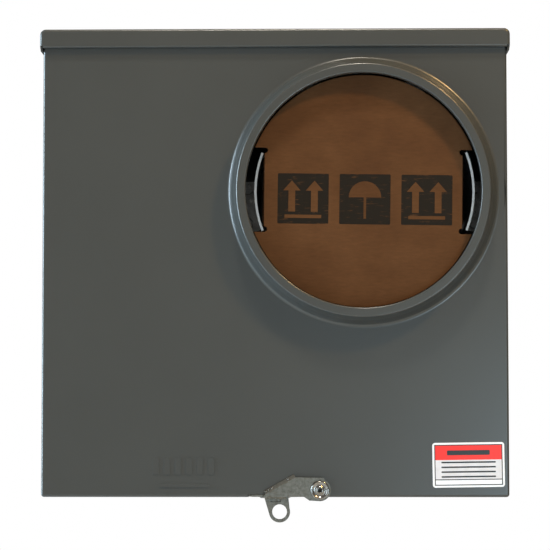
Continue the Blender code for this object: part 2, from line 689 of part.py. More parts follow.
def make_insert():
    """The cardboard disc behind the opening, with side slots whose flaps fold back inside."""
    relief = SLOT_HALF_HEIGHT + SLOT_RELIEF
    rim = math.degrees(math.asin(relief / INSERT_RADIUS))
    outline = []
    for side, start in ((1, rim), (-1, 180 + rim)):
        outline += arc((0, 0), INSERT_RADIUS, start, start + 180 - 2 * rim, 22)
        outline += [
            (-side * (FOLD_LINE + 0.2), side * relief), (-side * FOLD_LINE, side * SLOT_HALF_HEIGHT),
            (-side * FOLD_LINE, -side * SLOT_HALF_HEIGHT), (-side * (FOLD_LINE + 0.2), -side * relief),
        ]
    front = -INSERT_FRONT
    insert = prism("shipping_insert", outline, "Y", (front, front + INSERT_THICKNESS))
    fuse(insert, make_flap(-1, front), make_flap(1, front))
    place = Matrix.Translation((RING_X * MM, 0, RING_Z * MM))
    insert.data.transform(place @ Matrix.Rotation(INSERT_TURN, 4, "Y"))
    return hang(finish(insert, CARDBOARD, smooth=False), (RING_X, front, RING_Z))


def support_outline(side, angle):
    """Outline of a curved wall around the opening's axis, on the left (-1) or the right (1)."""
    middle = 0 if side > 0 else 180
    centre = (SUPPORT_X, RING_Z)
    outer = arc(centre, SUPPORT_RADIUS, middle - angle, middle + angle, 8)
    inner = arc(centre, SUPPORT_RADIUS - SHEET, middle + angle, middle - angle, 8)
    return outer + inner


def make_meter_support(side, name):
    """A curved bracket whose front edge carries the meter's rim, on a leg and a foot."""
    shoulder = -SUPPORT_SHOULDER
    leg_span = (shoulder - 3, FOOT_LEVEL - SHEET + 0.3)
    support = prism(name, support_outline(side, SUPPORT_ANGLE), "Y", (SUPPORT_FRONT, shoulder))
    fuse(support, prism("leg", support_outline(side, SUPPORT_LEG_ANGLE), "Y", leg_span))
    length, half_height = SUPPORT_FOOT
    near, far = mirrored(side, SUPPORT_RADIUS - SHEET, SUPPORT_RADIUS + length)
    across = (SUPPORT_X + near, SUPPORT_X + far)
    foot = rounded(rectangle(across, (RING_Z - half_height, RING_Z + half_height)), 2.5, 2)
    fuse(support, prism("foot", foot, "Y", (FOOT_LEVEL - SHEET, FOOT_LEVEL)))
    places = [place for place in SUPPORT_SCREW_PLACES if (place[0] > RING_X) == (side > 0)]
    drill(support, places, FIXING_HOLE_RADIUS, "Y", (-8, 0), 10)
    return finish(support, ZINC)


def make_jaw_base():
    """The moulded block that carries the four jaws, with a barrier between the two phases."""
    floor_top = -BASE_FLOOR
    root = floor_top + 1
    plate = rounded(centred(RING_CENTRE, 2 * BASE_HALF[0], 2 * BASE_HALF[1]), 5, 2)
    base = prism("jaw_base", plate, "Y", (floor_top, FOOT_LEVEL))
    for side, end in JAW_PLACES:
        middle = (RING_X + side * JAW_SPACING_X / 2, RING_Z + end * (BASE_HALF[1] - 29))
        fuse(base, prism("tower", rounded(centred(middle, 28, 56), 3, 2), "Y", (-BASE_TOP, root)))
    fuse(base, prism("barrier", centred(RING_CENTRE, 4, 2 * BASE_HALF[1] - 8), "Y", (-BARRIER_TOP, root)))
    fuse(base, prism("web", centred(RING_CENTRE, 2 * BASE_HALF[0] - 16, 4), "Y", (-BASE_TOP + 10, root)))
    drill(base, BASE_SCREW_PLACES, 2.6, "Y", (floor_top - 2, 0), 10)
    return finish(base, THERMOSET)


def jaw_centre(side, end):
    return RING_X + side * JAW_SPACING_X / 2, RING_Z + end * JAW_SPACING_Z / 2


def make_jaw(side, end, name):
    """One meter jaw: a bus strip under the lug, and two fingers that grip the meter's blade."""
    x, z = jaw_centre(side, end)
    strip_up = sorted((z - end * 11, z + end * (LUG_OFFSET + 12)))
    strip = (x - STRIP_WIDTH / 2, x + STRIP_WIDTH / 2)
    jaw = block(name, strip, (STRIP_TOP - STRIP_SHEET, STRIP_TOP), strip_up)
    root = STRIP_TOP - STRIP_SHEET + 0.5
    throat_half, throat_depth = JAW_THROAT
    finger = [
        (8, root), (8, -60), (throat_half + 2.3, -throat_depth + 0.5), (throat_half + 4.5, -JAW_TOP),
        (throat_half + 2.6, -JAW_TOP), (throat_half, -throat_depth), (5.8, -60), (5.8, root - 3),
    ]
    left = [(x - across, depth) for across, depth in reversed(finger)]
    outline = [(x + across, depth) for across, depth in finger] + left
    fuse(jaw, prism("fingers", outline, "Z", (z - JAW_WIDTH / 2, z + JAW_WIDTH / 2)))
    return finish(jaw, TIN)


def make_jaw_spring(side, end, name):
    """A spring band that holds the jaw's two fingers together."""
    centre = jaw_centre(side, end)
    near, far = SPRING_DEPTH
    half_width, half_height = SPRING_HALF
    spring = prism(name, centred(centre, 2 * half_width, 2 * half_height), "Y", (-far, -near))
    window = centred(centre, 2 * (half_width - SPRING_SHEET), 2 * (half_height - SPRING_SHEET))
    cut(spring, prism("window", window, "Y", (-far - 3, -near + 3)))
    return finish(spring, SPRING, smooth=False)


def make_lug(side, end, name):
    """A mechanical lug on the jaw's strip, with a wire hole and a threaded hole for its screw."""
    x, z = jaw_centre(side, end)
    z += end * LUG_OFFSET
    wire_depth = LUG_BACK - 9.5
    section = rounded(rectangle((x - LUG_WIDTH / 2, x + LUG_WIDTH / 2), (LUG_FRONT, LUG_BACK)), 2.5, 2)
    lug = prism(name, section, "Z", (z - LUG_LENGTH / 2, z + LUG_LENGTH / 2))
    drill(lug, [(x, wire_depth)], LUG_WIRE_RADIUS, "Z", (z - LUG_LENGTH, z + LUG_LENGTH), 16)
    drill(lug, [(x, z)], LUG_THREAD_RADIUS, "Y", (LUG_FRONT - 3, wire_depth), 16)
    finish(lug, ALUMINIUM)
    head = (LUG_SCREW_RADIUS + 0.2, LUG_FRONT - 4.5, LUG_FRONT + 2.0)
    return screw(f"{name}_screw", (x, z), "Y", head, LUG_SCREW_RADIUS, wire_depth - 4.5, "hex")


def make_neutral():
    """The neutral bar on its Z-shaped bracket, which bonds it to the box."""
    x = NEUTRAL_X
    seat = -NEUTRAL_SEAT
    width, depth, length = NEUTRAL_BAR
    riser = x - 10
    profile = [
        (x - 26, FOOT_LEVEL), (x - 26, FOOT_LEVEL - SHEET), (riser - SHEET, FOOT_LEVEL - SHEET),
        (riser - SHEET, seat), (x + 9, seat), (x + 9, seat + SHEET), (riser, seat + SHEET),
        (riser, FOOT_LEVEL),
    ]
    bracket_up = (NEUTRAL_Z - BRACKET_HALF_HEIGHT, NEUTRAL_Z + BRACKET_HALF_HEIGHT)
    bracket = prism("neutral_bracket", profile, "Z", bracket_up)
    drill(bracket, BRACKET_SCREW_PLACES, FIXING_HOLE_RADIUS, "Y", (-8, 0), 10)
    finish(bracket, ZINC)
    bar_back = seat - 0.3
    bar_front = bar_back - depth
    wire_depth = bar_back - 10.1
    section = rounded(rectangle((x - width / 2, x + width / 2), (bar_front, bar_back)), 1.5, 2)
    bar = prism("neutral_bar", section, "Z", (NEUTRAL_Z - length / 2, NEUTRAL_Z + length / 2))
    drill(bar, [(x, wire_depth)], LUG_WIRE_RADIUS, "Z", (NEUTRAL_Z - length, NEUTRAL_Z + length), 16)
    drill(bar, NEUTRAL_SCREW_PLACES, LUG_THREAD_RADIUS, "Y", (bar_front - 4, wire_depth), 16)
    finish(bar, ALUMINIUM)
    for number, place in enumerate(NEUTRAL_SCREW_PLACES, 1):
        head = (LUG_SCREW_RADIUS + 0.2, bar_front - 3.5, bar_front + 2)
        screw(f"neutral_screw_{number}", place, "Y", head, LUG_SCREW_RADIUS, wire_depth - 4.5)
    place_fixing_screws("bracket_screw", BRACKET_SCREW_PLACES)


def make_ground_lug():
    """The grounding lug on the back wall, held by one screw through its tail."""
    x, z = GROUND_PLACE
    tail = 3.0
    half = 7.0
    front = -22.0
    wire_depth = -11.5
    lug = block("ground_lug", (x - half, x + half), (FOOT_LEVEL - tail, FOOT_LEVEL), (z - 8, z + 24))
    section = rounded(rectangle((x - half, x + half), (front, FOOT_LEVEL - 0.5)), 2, 2)
    fuse(lug, prism("barrel", section, "Z", (z - 8, z + 8)))
    drill(lug, [(x, wire_depth)], 4.6, "Z", (z - 20, z + 12), 14)
    drill(lug, [GROUND_PLACE], 3.9, "Y", (front - 2, wire_depth), 14)
    drill(lug, [GROUND_BOLT], FIXING_HOLE_RADIUS, "Y", (-8, 0), 10)
    finish(lug, ALUMINIUM)
    screw("ground_screw", GROUND_PLACE, "Y", (3.6, front - 3.5, front + 1.5), 3.4, wire_depth - 4)
    head_back = FOOT_LEVEL - tail - 0.3
    screw("ground_bolt", GROUND_BOLT, "Y", (4.6, head_back - 3, head_back), 2.1, -0.4, "hex")


def place_fixing_screws(name, places):
    """Screws that hold a 1.6 mm bracket to the back wall."""
    head_back = FOOT_LEVEL - SHEET - 0.3
    for number, place in enumerate(places, 1):
        screw(f"{name}_{number}", place, "Y", (4.4, head_back - 2.7, head_back), 2.1, -0.4)


def place_base_screws():
    """Screws that hold the jaw base to the back wall."""
    head_back = -BASE_FLOOR - 0.3
    for number, place in enumerate(BASE_SCREW_PLACES, 1):
        screw(f"base_screw_{number}", place, "Y", (4.8, head_back - 3.5, head_back), 2.2, -0.4, "hex")


for leftover in list(bpy.data.objects):
    bpy.data.objects.remove(leftover, do_unlink=True)

make_back_pan()
make_top_end_wall()
make_bottom_end_wall()
make_hub_closing()
make_hasp()
make_cover()
make_cover_label()
make_latch_rivet()
make_latch_lever()
make_insert()
make_meter_support(-1, "meter_support_left")
make_meter_support(1, "meter_support_right")
place_fixing_screws("support_screw", SUPPORT_SCREW_PLACES)
make_jaw_base()
place_base_screws()
for jaw_number, (jaw_side, jaw_end) in enumerate(JAW_PLACES, 1):
    make_jaw(jaw_side, jaw_end, f"jaw_{jaw_number}")
    make_jaw_spring(jaw_side, jaw_end, f"jaw_spring_{jaw_number}")
    make_lug(jaw_side, jaw_end, f"lug_{jaw_number}")
make_neutral()
make_ground_lug()
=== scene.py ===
import math

import bmesh
import bpy
from mathutils import Matrix, Vector


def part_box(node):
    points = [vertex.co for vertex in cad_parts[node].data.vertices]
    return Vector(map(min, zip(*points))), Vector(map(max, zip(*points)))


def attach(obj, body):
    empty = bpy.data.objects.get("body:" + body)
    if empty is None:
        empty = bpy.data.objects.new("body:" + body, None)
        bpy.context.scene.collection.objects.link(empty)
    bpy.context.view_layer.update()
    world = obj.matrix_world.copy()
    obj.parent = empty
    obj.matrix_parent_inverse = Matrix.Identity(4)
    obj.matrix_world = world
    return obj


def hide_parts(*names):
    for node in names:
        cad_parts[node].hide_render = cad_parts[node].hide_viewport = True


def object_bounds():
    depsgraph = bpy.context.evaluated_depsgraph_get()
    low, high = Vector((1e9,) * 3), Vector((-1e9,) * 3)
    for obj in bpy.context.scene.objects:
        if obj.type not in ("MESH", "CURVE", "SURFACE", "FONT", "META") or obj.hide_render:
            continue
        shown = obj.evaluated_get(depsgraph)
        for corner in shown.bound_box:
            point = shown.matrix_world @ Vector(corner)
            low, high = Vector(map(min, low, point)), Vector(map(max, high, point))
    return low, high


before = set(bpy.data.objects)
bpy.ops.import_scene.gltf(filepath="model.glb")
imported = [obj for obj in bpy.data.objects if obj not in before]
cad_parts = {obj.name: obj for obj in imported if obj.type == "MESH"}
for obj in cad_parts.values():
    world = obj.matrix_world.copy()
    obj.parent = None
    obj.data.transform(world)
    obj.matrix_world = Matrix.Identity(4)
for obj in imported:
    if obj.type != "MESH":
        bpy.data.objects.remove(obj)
cadBounds = [list(corner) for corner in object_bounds()]
print("frame loaded:", len(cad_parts), "nodes")

mm = 0.001

# places read from the frame, in metres
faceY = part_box("latch_hasp")[0].y            # front face of the cover sheet
coverLow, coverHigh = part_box("cover")
capLow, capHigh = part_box("top_end_wall")
insertLow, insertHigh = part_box("shipping_insert")
ringX = (insertLow.x + insertHigh.x) / 2
ringZ = (insertLow.z + insertHigh.z) / 2
rivetLow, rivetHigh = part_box("latch_rivet")
rivetX = (rivetLow.x + rivetHigh.x) / 2
rivetZ = (rivetLow.z + rivetHigh.z) / 2


def pointsOnArc(centre, radius, start, end, steps):
    angles = [math.radians(start + (end - start) * step / steps) for step in range(steps + 1)]
    return [(centre[0] + radius * math.cos(a), centre[1] + radius * math.sin(a)) for a in angles]


def fillet(before, here, after, radius, steps):
    # the points of a rounded corner at here, on the way from before to after
    here = Vector(here)
    back = (Vector(before) - here).normalized()
    ahead = (Vector(after) - here).normalized()
    half = back.angle(ahead) / 2
    middle = here + (back + ahead).normalized() * (radius / math.sin(half))
    first = here + back * (radius / math.tan(half)) - middle
    last = here + ahead * (radius / math.tan(half)) - middle
    spokes = [first.lerp(last, step / steps).normalized() * radius for step in range(steps + 1)]
    return [tuple(middle + spoke) for spoke in spokes]


def roundCorners(outline, radius, steps=4):
    rounded = []
    for index, corner in enumerate(outline):
        following = outline[(index + 1) % len(outline)]
        rounded += fillet(outline[index - 1], corner, following, radius, steps)
    return rounded


def rectangle(left, right, low, high):
    return [(left, low), (right, low), (right, high), (left, high)]


def inMm(points):
    return [(x * mm, z * mm) for x, z in points]


def newObject(name, mesh):
    item = bpy.data.objects.new(name, mesh)
    bpy.context.scene.collection.objects.link(item)
    return item


def fromBmesh(name, shape, weld=0.00001):
    bmesh.ops.remove_doubles(shape, verts=shape.verts, dist=weld)
    bmesh.ops.recalc_face_normals(shape, faces=shape.faces)
    mesh = bpy.data.meshes.new(name)
    shape.to_mesh(mesh)
    shape.free()
    return newObject(name, mesh)


def pushFaces(shape, faces, offset):
    # turns flat faces into a solid by drawing a copy of them along the offset
    raised = bmesh.ops.extrude_face_region(shape, geom=faces)["geom"]
    moved = [item for item in raised if isinstance(item, bmesh.types.BMVert)]
    bmesh.ops.translate(shape, vec=offset, verts=moved)


def slab(name, outline, front, back, holes=()):
    # a flat piece in the plane of the cover: outline and holes are (x, z) points
    shape = bmesh.new()
    edges = []
    for loop in [outline, *holes]:
        corners = [shape.verts.new((x, front, z)) for x, z in loop]
        for index, corner in enumerate(corners):
            edges.append(shape.edges.new((corner, corners[(index + 1) % len(corners)])))
    filled = bmesh.ops.triangle_fill(shape, edges=edges, use_beauty=True, use_dissolve=False)["geom"]
    faces = [item for item in filled if isinstance(item, bmesh.types.BMFace)]
    pushFaces(shape, faces, (0, back - front, 0))
    return fromBmesh(name, shape, 0.0000001)


def prism(name, corners, offset):
    shape = bmesh.new()
    face = shape.faces.new([shape.verts.new(corner) for corner in corners])
    pushFaces(shape, [face], offset)
    return fromBmesh(name, shape)


def lathe(name, profile, centre, steps):
    # (radius, y) points turned about a line along Y through the centre (x, z)
    shape = bmesh.new()
    rows = []
    for radius, y in profile:
        row = []
        for step in range(steps if radius > 0 else 1):
            angle = 2 * math.pi * step / steps
            row.append(shape.verts.new((centre[0] + radius * math.cos(angle), y,
                                        centre[1] + radius * math.sin(angle))))
        rows.append(row)
    for row, following in zip(rows, rows[1:]):
        for step in range(steps):
            corners = []
            for loop, index in ((row, step), (row, step + 1), (following, step + 1), (following, step)):
                corner = loop[index % len(loop)]
                if corner not in corners:
                    corners.append(corner)
            shape.faces.new(corners)
    return fromBmesh(name, shape, 0.0000001)


def settle(item):
    # keeps the result of the modifiers as the piece's own mesh
    bpy.context.view_layer.update()
    graph = bpy.context.evaluated_depsgraph_get()
    mesh = bpy.data.meshes.new_from_object(item.evaluated_get(graph))
    item.modifiers.clear()
    item.data = mesh
    return item


def combine(item, other, operation):
    # DIFFERENCE cuts the other piece away, UNION joins it on
    boolean = item.modifiers.new("combine", "BOOLEAN")
    boolean.operation = operation
    boolean.solver = "EXACT"
    boolean.object = other
    settle(item)
    bpy.data.objects.remove(other, do_unlink=True)


def soften(item, width, segments=3, angle=32):
    # rounded edges that catch a line of light, with flat faces kept flat
    if width > 0:
        bevel = item.modifiers.new("edges", "BEVEL")
        bevel.width = width
        bevel.segments = segments
        bevel.limit_method = "ANGLE"
        bevel.angle_limit = math.radians(angle)
        bevel.use_clamp_overlap = True
        bevel.harden_normals = False
    for polygon in item.data.polygons:
        polygon.use_smooth = True
    item.data.set_sharp_from_angle(angle=math.radians(angle))
    weighted = item.modifiers.new("normals", "WEIGHTED_NORMAL")
    weighted.keep_sharp = True
    weighted.weight = 80
    return item


def linearColour(hexCode):
    channels = [int(hexCode[index:index + 2], 16) / 255 for index in (1, 3, 5)]
    linear = [c / 12.92 if c <= 0.04045 else ((c + 0.055) / 1.055) ** 2.4 for c in channels]
    return (*linear, 1.0)


def addNode(tree, kind, settings=None, links=None, stops=(), **values):
    # settings are the node's own options, values its input sockets, links what feeds them,
    # and stops the places and colours along a ramp
    node = tree.nodes.new(kind)
    for name, value in (settings or {}).items():
        setattr(node, name, value)
    for name, value in values.items():
        node.inputs[name.replace("_", " ")].default_value = value
    for name, source in (links or {}).items():
        tree.links.new(source, node.inputs[name])
    if stops:
        elements = node.color_ramp.elements
        while len(elements) < len(stops):
            elements.new(0.5)
        for element, (place, hexCode) in zip(elements, stops):
            element.position = place
            element.color = linearColour(hexCode)
    return node


def newMaterial(name, **surface):
    material = bpy.data.materials.new(name)
    material.use_nodes = True
    tree = material.node_tree
    tree.nodes.clear()
    shader = addNode(tree, "ShaderNodeBsdfPrincipled")
    for socket, value in surface.items():
        shader.inputs[socket.replace("_", " ")].default_value = value
    addNode(tree, "ShaderNodeOutputMaterial", links={"Surface": shader.outputs[0]})
    return material, tree, shader


def perMetre(sizeMm):
    # noise scale for a feature of this size
    return 1000.0 / sizeMm


enamel = {
    "colour": "#373938", "lighter": "#383a39", "darker": "#363837",
    "mottleMm": 60.0, "peelMm": 1.6, "peelDepthMm": 0.006, "peelStrength": 0.35, "roughness": 0.28,
}


def makeEnamel():
    # baked polyester enamel over galvanised sheet: an even dark green-grey with a semi-gloss
    # skin, whose fine orange peel breaks reflections into soft streaks
    look = enamel
    material, tree, shader = newMaterial("bakedEnamel", IOR=1.5, Roughness=look["roughness"])
    place = addNode(tree, "ShaderNodeTexCoord").outputs["Object"]
    mottle = addNode(tree, "ShaderNodeTexNoise", links={"Vector": place},
                     Scale=perMetre(look["mottleMm"]), Detail=4.0, Roughness=0.55)
    tones = addNode(tree, "ShaderNodeValToRGB", links={"Fac": mottle.outputs["Fac"]},
                    stops=[(0.3, look["darker"]), (0.5, look["colour"]), (0.7, look["lighter"])])
    tree.links.new(tones.outputs["Color"], shader.inputs["Base Color"])
    peel = addNode(tree, "ShaderNodeTexNoise", links={"Vector": place},
                   Scale=perMetre(look["peelMm"]), Detail=2.0, Roughness=0.55)
    bump = addNode(tree, "ShaderNodeBump", links={"Height": peel.outputs["Fac"]},
                   Strength=look["peelStrength"], Distance=look["peelDepthMm"] * mm)
    tree.links.new(bump.outputs[0], shader.inputs["Normal"])
    return material


# real rolling lines are finer than 0.1 mm; these are drawn coarser, near the finest that can show
metalGrain = {"lineMm": 0.5, "stretch": (1, 1, 0.12), "depthMm": 0.01, "strength": 0.25}
metals = {
    # zinc plating: cool bright grey, slightly cloudy
    "zincPlating": {
        "colour": "#c9cbcc", "dull": "#a9abac",
        "grainMm": 4.0, "roughness": (0.24, 0.40),
    },
    # cold-rolled stainless with handling stains: grey-brown and dull
    "rolledStainless": {
        "colour": "#75726b", "dull": "#5b5851",
        "grainMm": 2.2, "roughness": (0.34, 0.52),
    },
    # set rivet, burnished by the tool: near-mirror rings
    "burnishedRivet": {
        "colour": "#8f8c88", "dull": "#75716b",
        "grainMm": 3.0, "roughness": (0.14, 0.24),
    },
    # extruded aluminium with faint die lines along the wire
    "extrudedAluminium": {
        "colour": "#d2d4d6", "dull": "#bcbec0",
        "grainMm": 2.0, "roughness": (0.32, 0.46),
    },
    # tin plating over copper: soft warm white
    "tinPlating": {
        "colour": "#c8c6bf", "dull": "#aeaba2",
        "grainMm": 3.0, "roughness": (0.28, 0.42),
    },
    # tempered spring steel: dark blue-grey
    "springSteel": {
        "colour": "#6d7076", "dull": "#54565b",
        "grainMm": 2.0, "roughness": (0.26, 0.38),
    },
}


def makeMetal(name):
    look = metals[name]
    material, tree, shader = newMaterial(name, Metallic=1.0)
    place = addNode(tree, "ShaderNodeTexCoord").outputs["Object"]
    cloud = addNode(tree, "ShaderNodeTexNoise", links={"Vector": place},
                    Scale=perMetre(look["grainMm"]), Detail=5.0, Roughness=0.6)
    tones = addNode(tree, "ShaderNodeValToRGB", links={"Fac": cloud.outputs["Fac"]},
                    stops=[(0.32, look["dull"]), (0.66, look["colour"])])
    tree.links.new(tones.outputs["Color"], shader.inputs["Base Color"])
    low, high = look["roughness"]
    spread = addNode(tree, "ShaderNodeMapRange", links={"Value": cloud.outputs["Fac"]},
                     From_Min=0.3, From_Max=0.7, To_Min=high, To_Max=low)
    tree.links.new(spread.outputs[0], shader.inputs["Roughness"])
    # rolling and drawing lines run along the height
    drawn = addNode(tree, "ShaderNodeMapping", links={"Vector": place}, Scale=metalGrain["stretch"])
    grain = addNode(tree, "ShaderNodeTexNoise", links={"Vector": drawn.outputs[0]},
                    Scale=perMetre(metalGrain["lineMm"]), Detail=2.0, Roughness=0.55)
    bump = addNode(tree, "ShaderNodeBump", links={"Height": grain.outputs["Fac"]},
                   Strength=metalGrain["strength"], Distance=metalGrain["depthMm"] * mm)
    tree.links.new(bump.outputs[0], shader.inputs["Normal"])
    return material


dullSurfaces = {
    # compression-moulded phenolic: near-black with a faint sheen
    "mouldedPhenolic": {"colour": "#1d1d1e", "other": "#262627", "grainMm": 3.0, "roughness": 0.42},
    # die-cut neoprene sheet: flat black
    "dieCutNeoprene": {"colour": "#161616", "other": "#1e1e1e", "grainMm": 1.5, "roughness": 0.85},
    # white vinyl label film
    "labelVinyl": {"colour": "#c9cad2", "other": "#c2c3ca", "grainMm": 6.0, "roughness": 0.38},
    "labelBorderWhite": {"colour": "#dde2e8", "other": "#d6dbe2", "grainMm": 6.0, "roughness": 0.38},
    # screen-printed inks on the label
    "signalRedInk": {"colour": "#e01c06", "other": "#d81a06", "grainMm": 5.0, "roughness": 0.4},
    "labelBlackInk": {"colour": "#0c0e10", "other": "#121416", "grainMm": 5.0, "roughness": 0.4},
}


def makeDull(name):
    look = dullSurfaces[name]
    material, tree, shader = newMaterial(name, IOR=1.5, Roughness=look["roughness"])
    place = addNode(tree, "ShaderNodeTexCoord").outputs["Object"]
    cloud = addNode(tree, "ShaderNodeTexNoise", links={"Vector": place},
                    Scale=perMetre(look["grainMm"]), Detail=3.0, Roughness=0.55)
    tones = addNode(tree, "ShaderNodeValToRGB", links={"Fac": cloud.outputs["Fac"]},
                    stops=[(0.35, look["other"]), (0.65, look["colour"])])
    tree.links.new(tones.outputs["Color"], shader.inputs["Base Color"])
    return material


cardboard = {
    # real fibres are about 0.03 mm across; they are drawn as clumps, fibreMm wide, so that they show
    "colour": "#4c331f", "lighter": "#523823", "darker": "#462e1c", "roughness": 0.92, "shine": 0.12,
    "cloudMm": 45.0, "fibreMm": 1.4, "fibreStretch": (0.25, 1, 1), "fibreDepthMm": 0.04,
    "fluteMm": 6.4, "fluteDepthMm": 0.05,
    "ink": "#1d1a16", "wearMm": 2.6, "wearStretch": (0.35, 1, 2.2), "wornAway": 0.75,
}


def makeCardboard(name, printed=False):
    # brown kraft liner on corrugated board: matt, with faint flute lines and stray fibres
    look = cardboard
    material, tree, shader = newMaterial(name, IOR=1.45, Roughness=look["roughness"],
                                         Specular_IOR_Level=look["shine"])
    place = addNode(tree, "ShaderNodeTexCoord").outputs["Object"]
    cloud = addNode(tree, "ShaderNodeTexNoise", links={"Vector": place},
                    Scale=perMetre(look["cloudMm"]), Detail=3.0, Roughness=0.55)
    tones = addNode(tree, "ShaderNodeValToRGB", links={"Fac": cloud.outputs["Fac"]},
                    stops=[(0.3, look["darker"]), (0.5, look["colour"]), (0.7, look["lighter"])])
    along = addNode(tree, "ShaderNodeMapping", links={"Vector": place}, Scale=look["fibreStretch"])
    fibre = addNode(tree, "ShaderNodeTexNoise", links={"Vector": along.outputs[0]},
                    Scale=perMetre(look["fibreMm"]), Detail=3.0, Roughness=0.6)
    specks = addNode(tree, "ShaderNodeMixRGB", {"blend_type": "OVERLAY"},
                     {"Color1": tones.outputs["Color"], "Color2": fibre.outputs["Fac"]}, Fac=0.22)
    colour = specks.outputs[0]
    if printed:
        # flexographic ink, thin enough that the flutes and fibres rub it away in short dashes
        dashes = addNode(tree, "ShaderNodeMapping", links={"Vector": place}, Scale=look["wearStretch"])
        wear = addNode(tree, "ShaderNodeTexNoise", links={"Vector": dashes.outputs[0]},
                       Scale=perMetre(look["wearMm"]), Detail=4.0, Roughness=0.65)
        thin = addNode(tree, "ShaderNodeMapRange", links={"Value": wear.outputs["Fac"]},
                       From_Min=0.59, From_Max=0.7, To_Min=0.0, To_Max=look["wornAway"])
        inked = addNode(tree, "ShaderNodeMixRGB", links={"Fac": thin.outputs[0], "Color2": colour},
                        Color1=linearColour(look["ink"]))
        colour = inked.outputs[0]
    tree.links.new(colour, shader.inputs["Base Color"])
    # a wave texture of scale 1 repeats every pi / 10 metres
    flutes = addNode(tree, "ShaderNodeTexWave", {"bands_direction": "Z", "wave_profile": "SIN"},
                     {"Vector": place}, Scale=perMetre(look["fluteMm"]) * math.pi / 10,
                     Distortion=0.4, Detail=1.0)
    ridges = addNode(tree, "ShaderNodeBump", links={"Height": flutes.outputs["Fac"]},
                     Strength=0.12, Distance=look["fluteDepthMm"] * mm)
    rough = addNode(tree, "ShaderNodeBump", Strength=0.3, Distance=look["fibreDepthMm"] * mm,
                    links={"Height": fibre.outputs["Fac"], "Normal": ridges.outputs[0]})
    tree.links.new(rough.outputs[0], shader.inputs["Normal"])
    return material


finishes = {"bakedEnamel": makeEnamel(), "kraftBoard": makeCardboard("kraftBoard"),
            "flexoInk": makeCardboard("flexoInk", printed=True)}
for name in metals:
    finishes[name] = makeMetal(name)
for name in dullSurfaces:
    finishes[name] = makeDull(name)
print("materials made:", len(finishes))


def dress(item, finish, body):
    item.data.materials.clear()
    item.data.materials.append(finishes[finish])
    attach(item, body)
    return item


def foldPath(halfWidth, farZ, edgeZ, corner, steps=6):
    # a U from one free end round two corners to the other: (x, z, outward x, outward z)
    up = 1 if farZ > edgeZ else -1
    points = [(-halfWidth, edgeZ, -1.0, 0.0)]
    for side in (-1, 1):
        centre = (side * (halfWidth - corner), farZ - up * corner)
        for step in range(steps + 1):
            turn = math.radians(90 * (step / steps if side < 0 else 1 - step / steps))
            outX, outZ = side * math.cos(turn), up * math.sin(turn)
            points.append((centre[0] + corner * outX, centre[1] + corner * outZ, outX, outZ))
    points.append((halfWidth, edgeZ, 1.0, 0.0))
    return points


def sweepRows(shape, path, profile):
    # profile is (inset from the outline, y, share of the width, z of the free ends or None)
    rows = []
    for inset, y, narrow, endZ in profile:
        row = []
        for index, (x, z, outX, outZ) in enumerate(path):
            if endZ is not None and index in (0, len(path) - 1):
                z = endZ
            row.append(shape.verts.new(((x - outX * inset) * narrow, y, z - outZ * inset)))
        rows.append(row)
    for row, following in zip(rows, rows[1:]):
        for index in range(len(path) - 1):
            shape.faces.new((row[index], row[index + 1], following[index + 1], following[index]))
    return rows


def edgeLoop(shape, corners):
    pairs = zip(corners, [*corners[1:], corners[0]])
    return [shape.edges.get(pair) or shape.edges.new(pair) for pair in pairs]


def quarterBend(bend, front, steps=8):
    # the front face turning into the side, in the form that sweepRows takes
    profile = []
    for step in range(steps + 1):
        turn = math.radians(90 * step / steps)
        inset, depth = bend - bend * math.sin(turn), bend - bend * math.cos(turn)
        profile.append((inset, front + depth, 1.0, None))
    return profile


def thicken(name, shape, outward, thickness):
    # a sheet of this thickness behind the skin, whose largest face looks outward
    bmesh.ops.recalc_face_normals(shape, faces=shape.faces)
    largest = max(shape.faces, key=lambda face: face.calc_area())
    if largest.normal.dot(Vector(outward)) < 0:
        bmesh.ops.reverse_faces(shape, faces=shape.faces)
    mesh = bpy.data.meshes.new(name)
    shape.to_mesh(mesh)
    shape.free()
    sheet = newObject(name, mesh)
    solidify = sheet.modifiers.new("thickness", "SOLIDIFY")
    solidify.thickness = thickness
    solidify.offset = -1
    solidify.use_even_offset = True
    return settle(sheet)


coverSheet = {
    "thickness": 1.6 * mm, "bend": 1.9 * mm, "corner": 2.1 * mm, "flange": 18.0 * mm,
    "footRadius": 94.9 * mm, "shoulderRadius": 89.4 * mm, "openingRadius": 83.0 * mm,
    "footRun": 6.0 * mm, "footFillet": 3.2 * mm, "shoulderRound": 1.4 * mm, "lipRound": 1.1 * mm,
    "lipReturn": 5.6 * mm, "ringSteps": 256, "roundSteps": 8,
    # a faint drawing line on the slope: its radius, rise from the face, and size
    "ledgeRadius": 91.9 * mm, "ledgeRise": 7.6 * mm, "ledgeStep": 0.05 * mm, "ledgeHeight": 0.25 * mm,
    "ledgeRound": 0.1 * mm,
    # clearance for the hasp in the lower edge
    "notch": (-18.5 * mm, 20.4 * mm), "notchTop": 2.1 * mm, "past": 3.0 * mm,
}


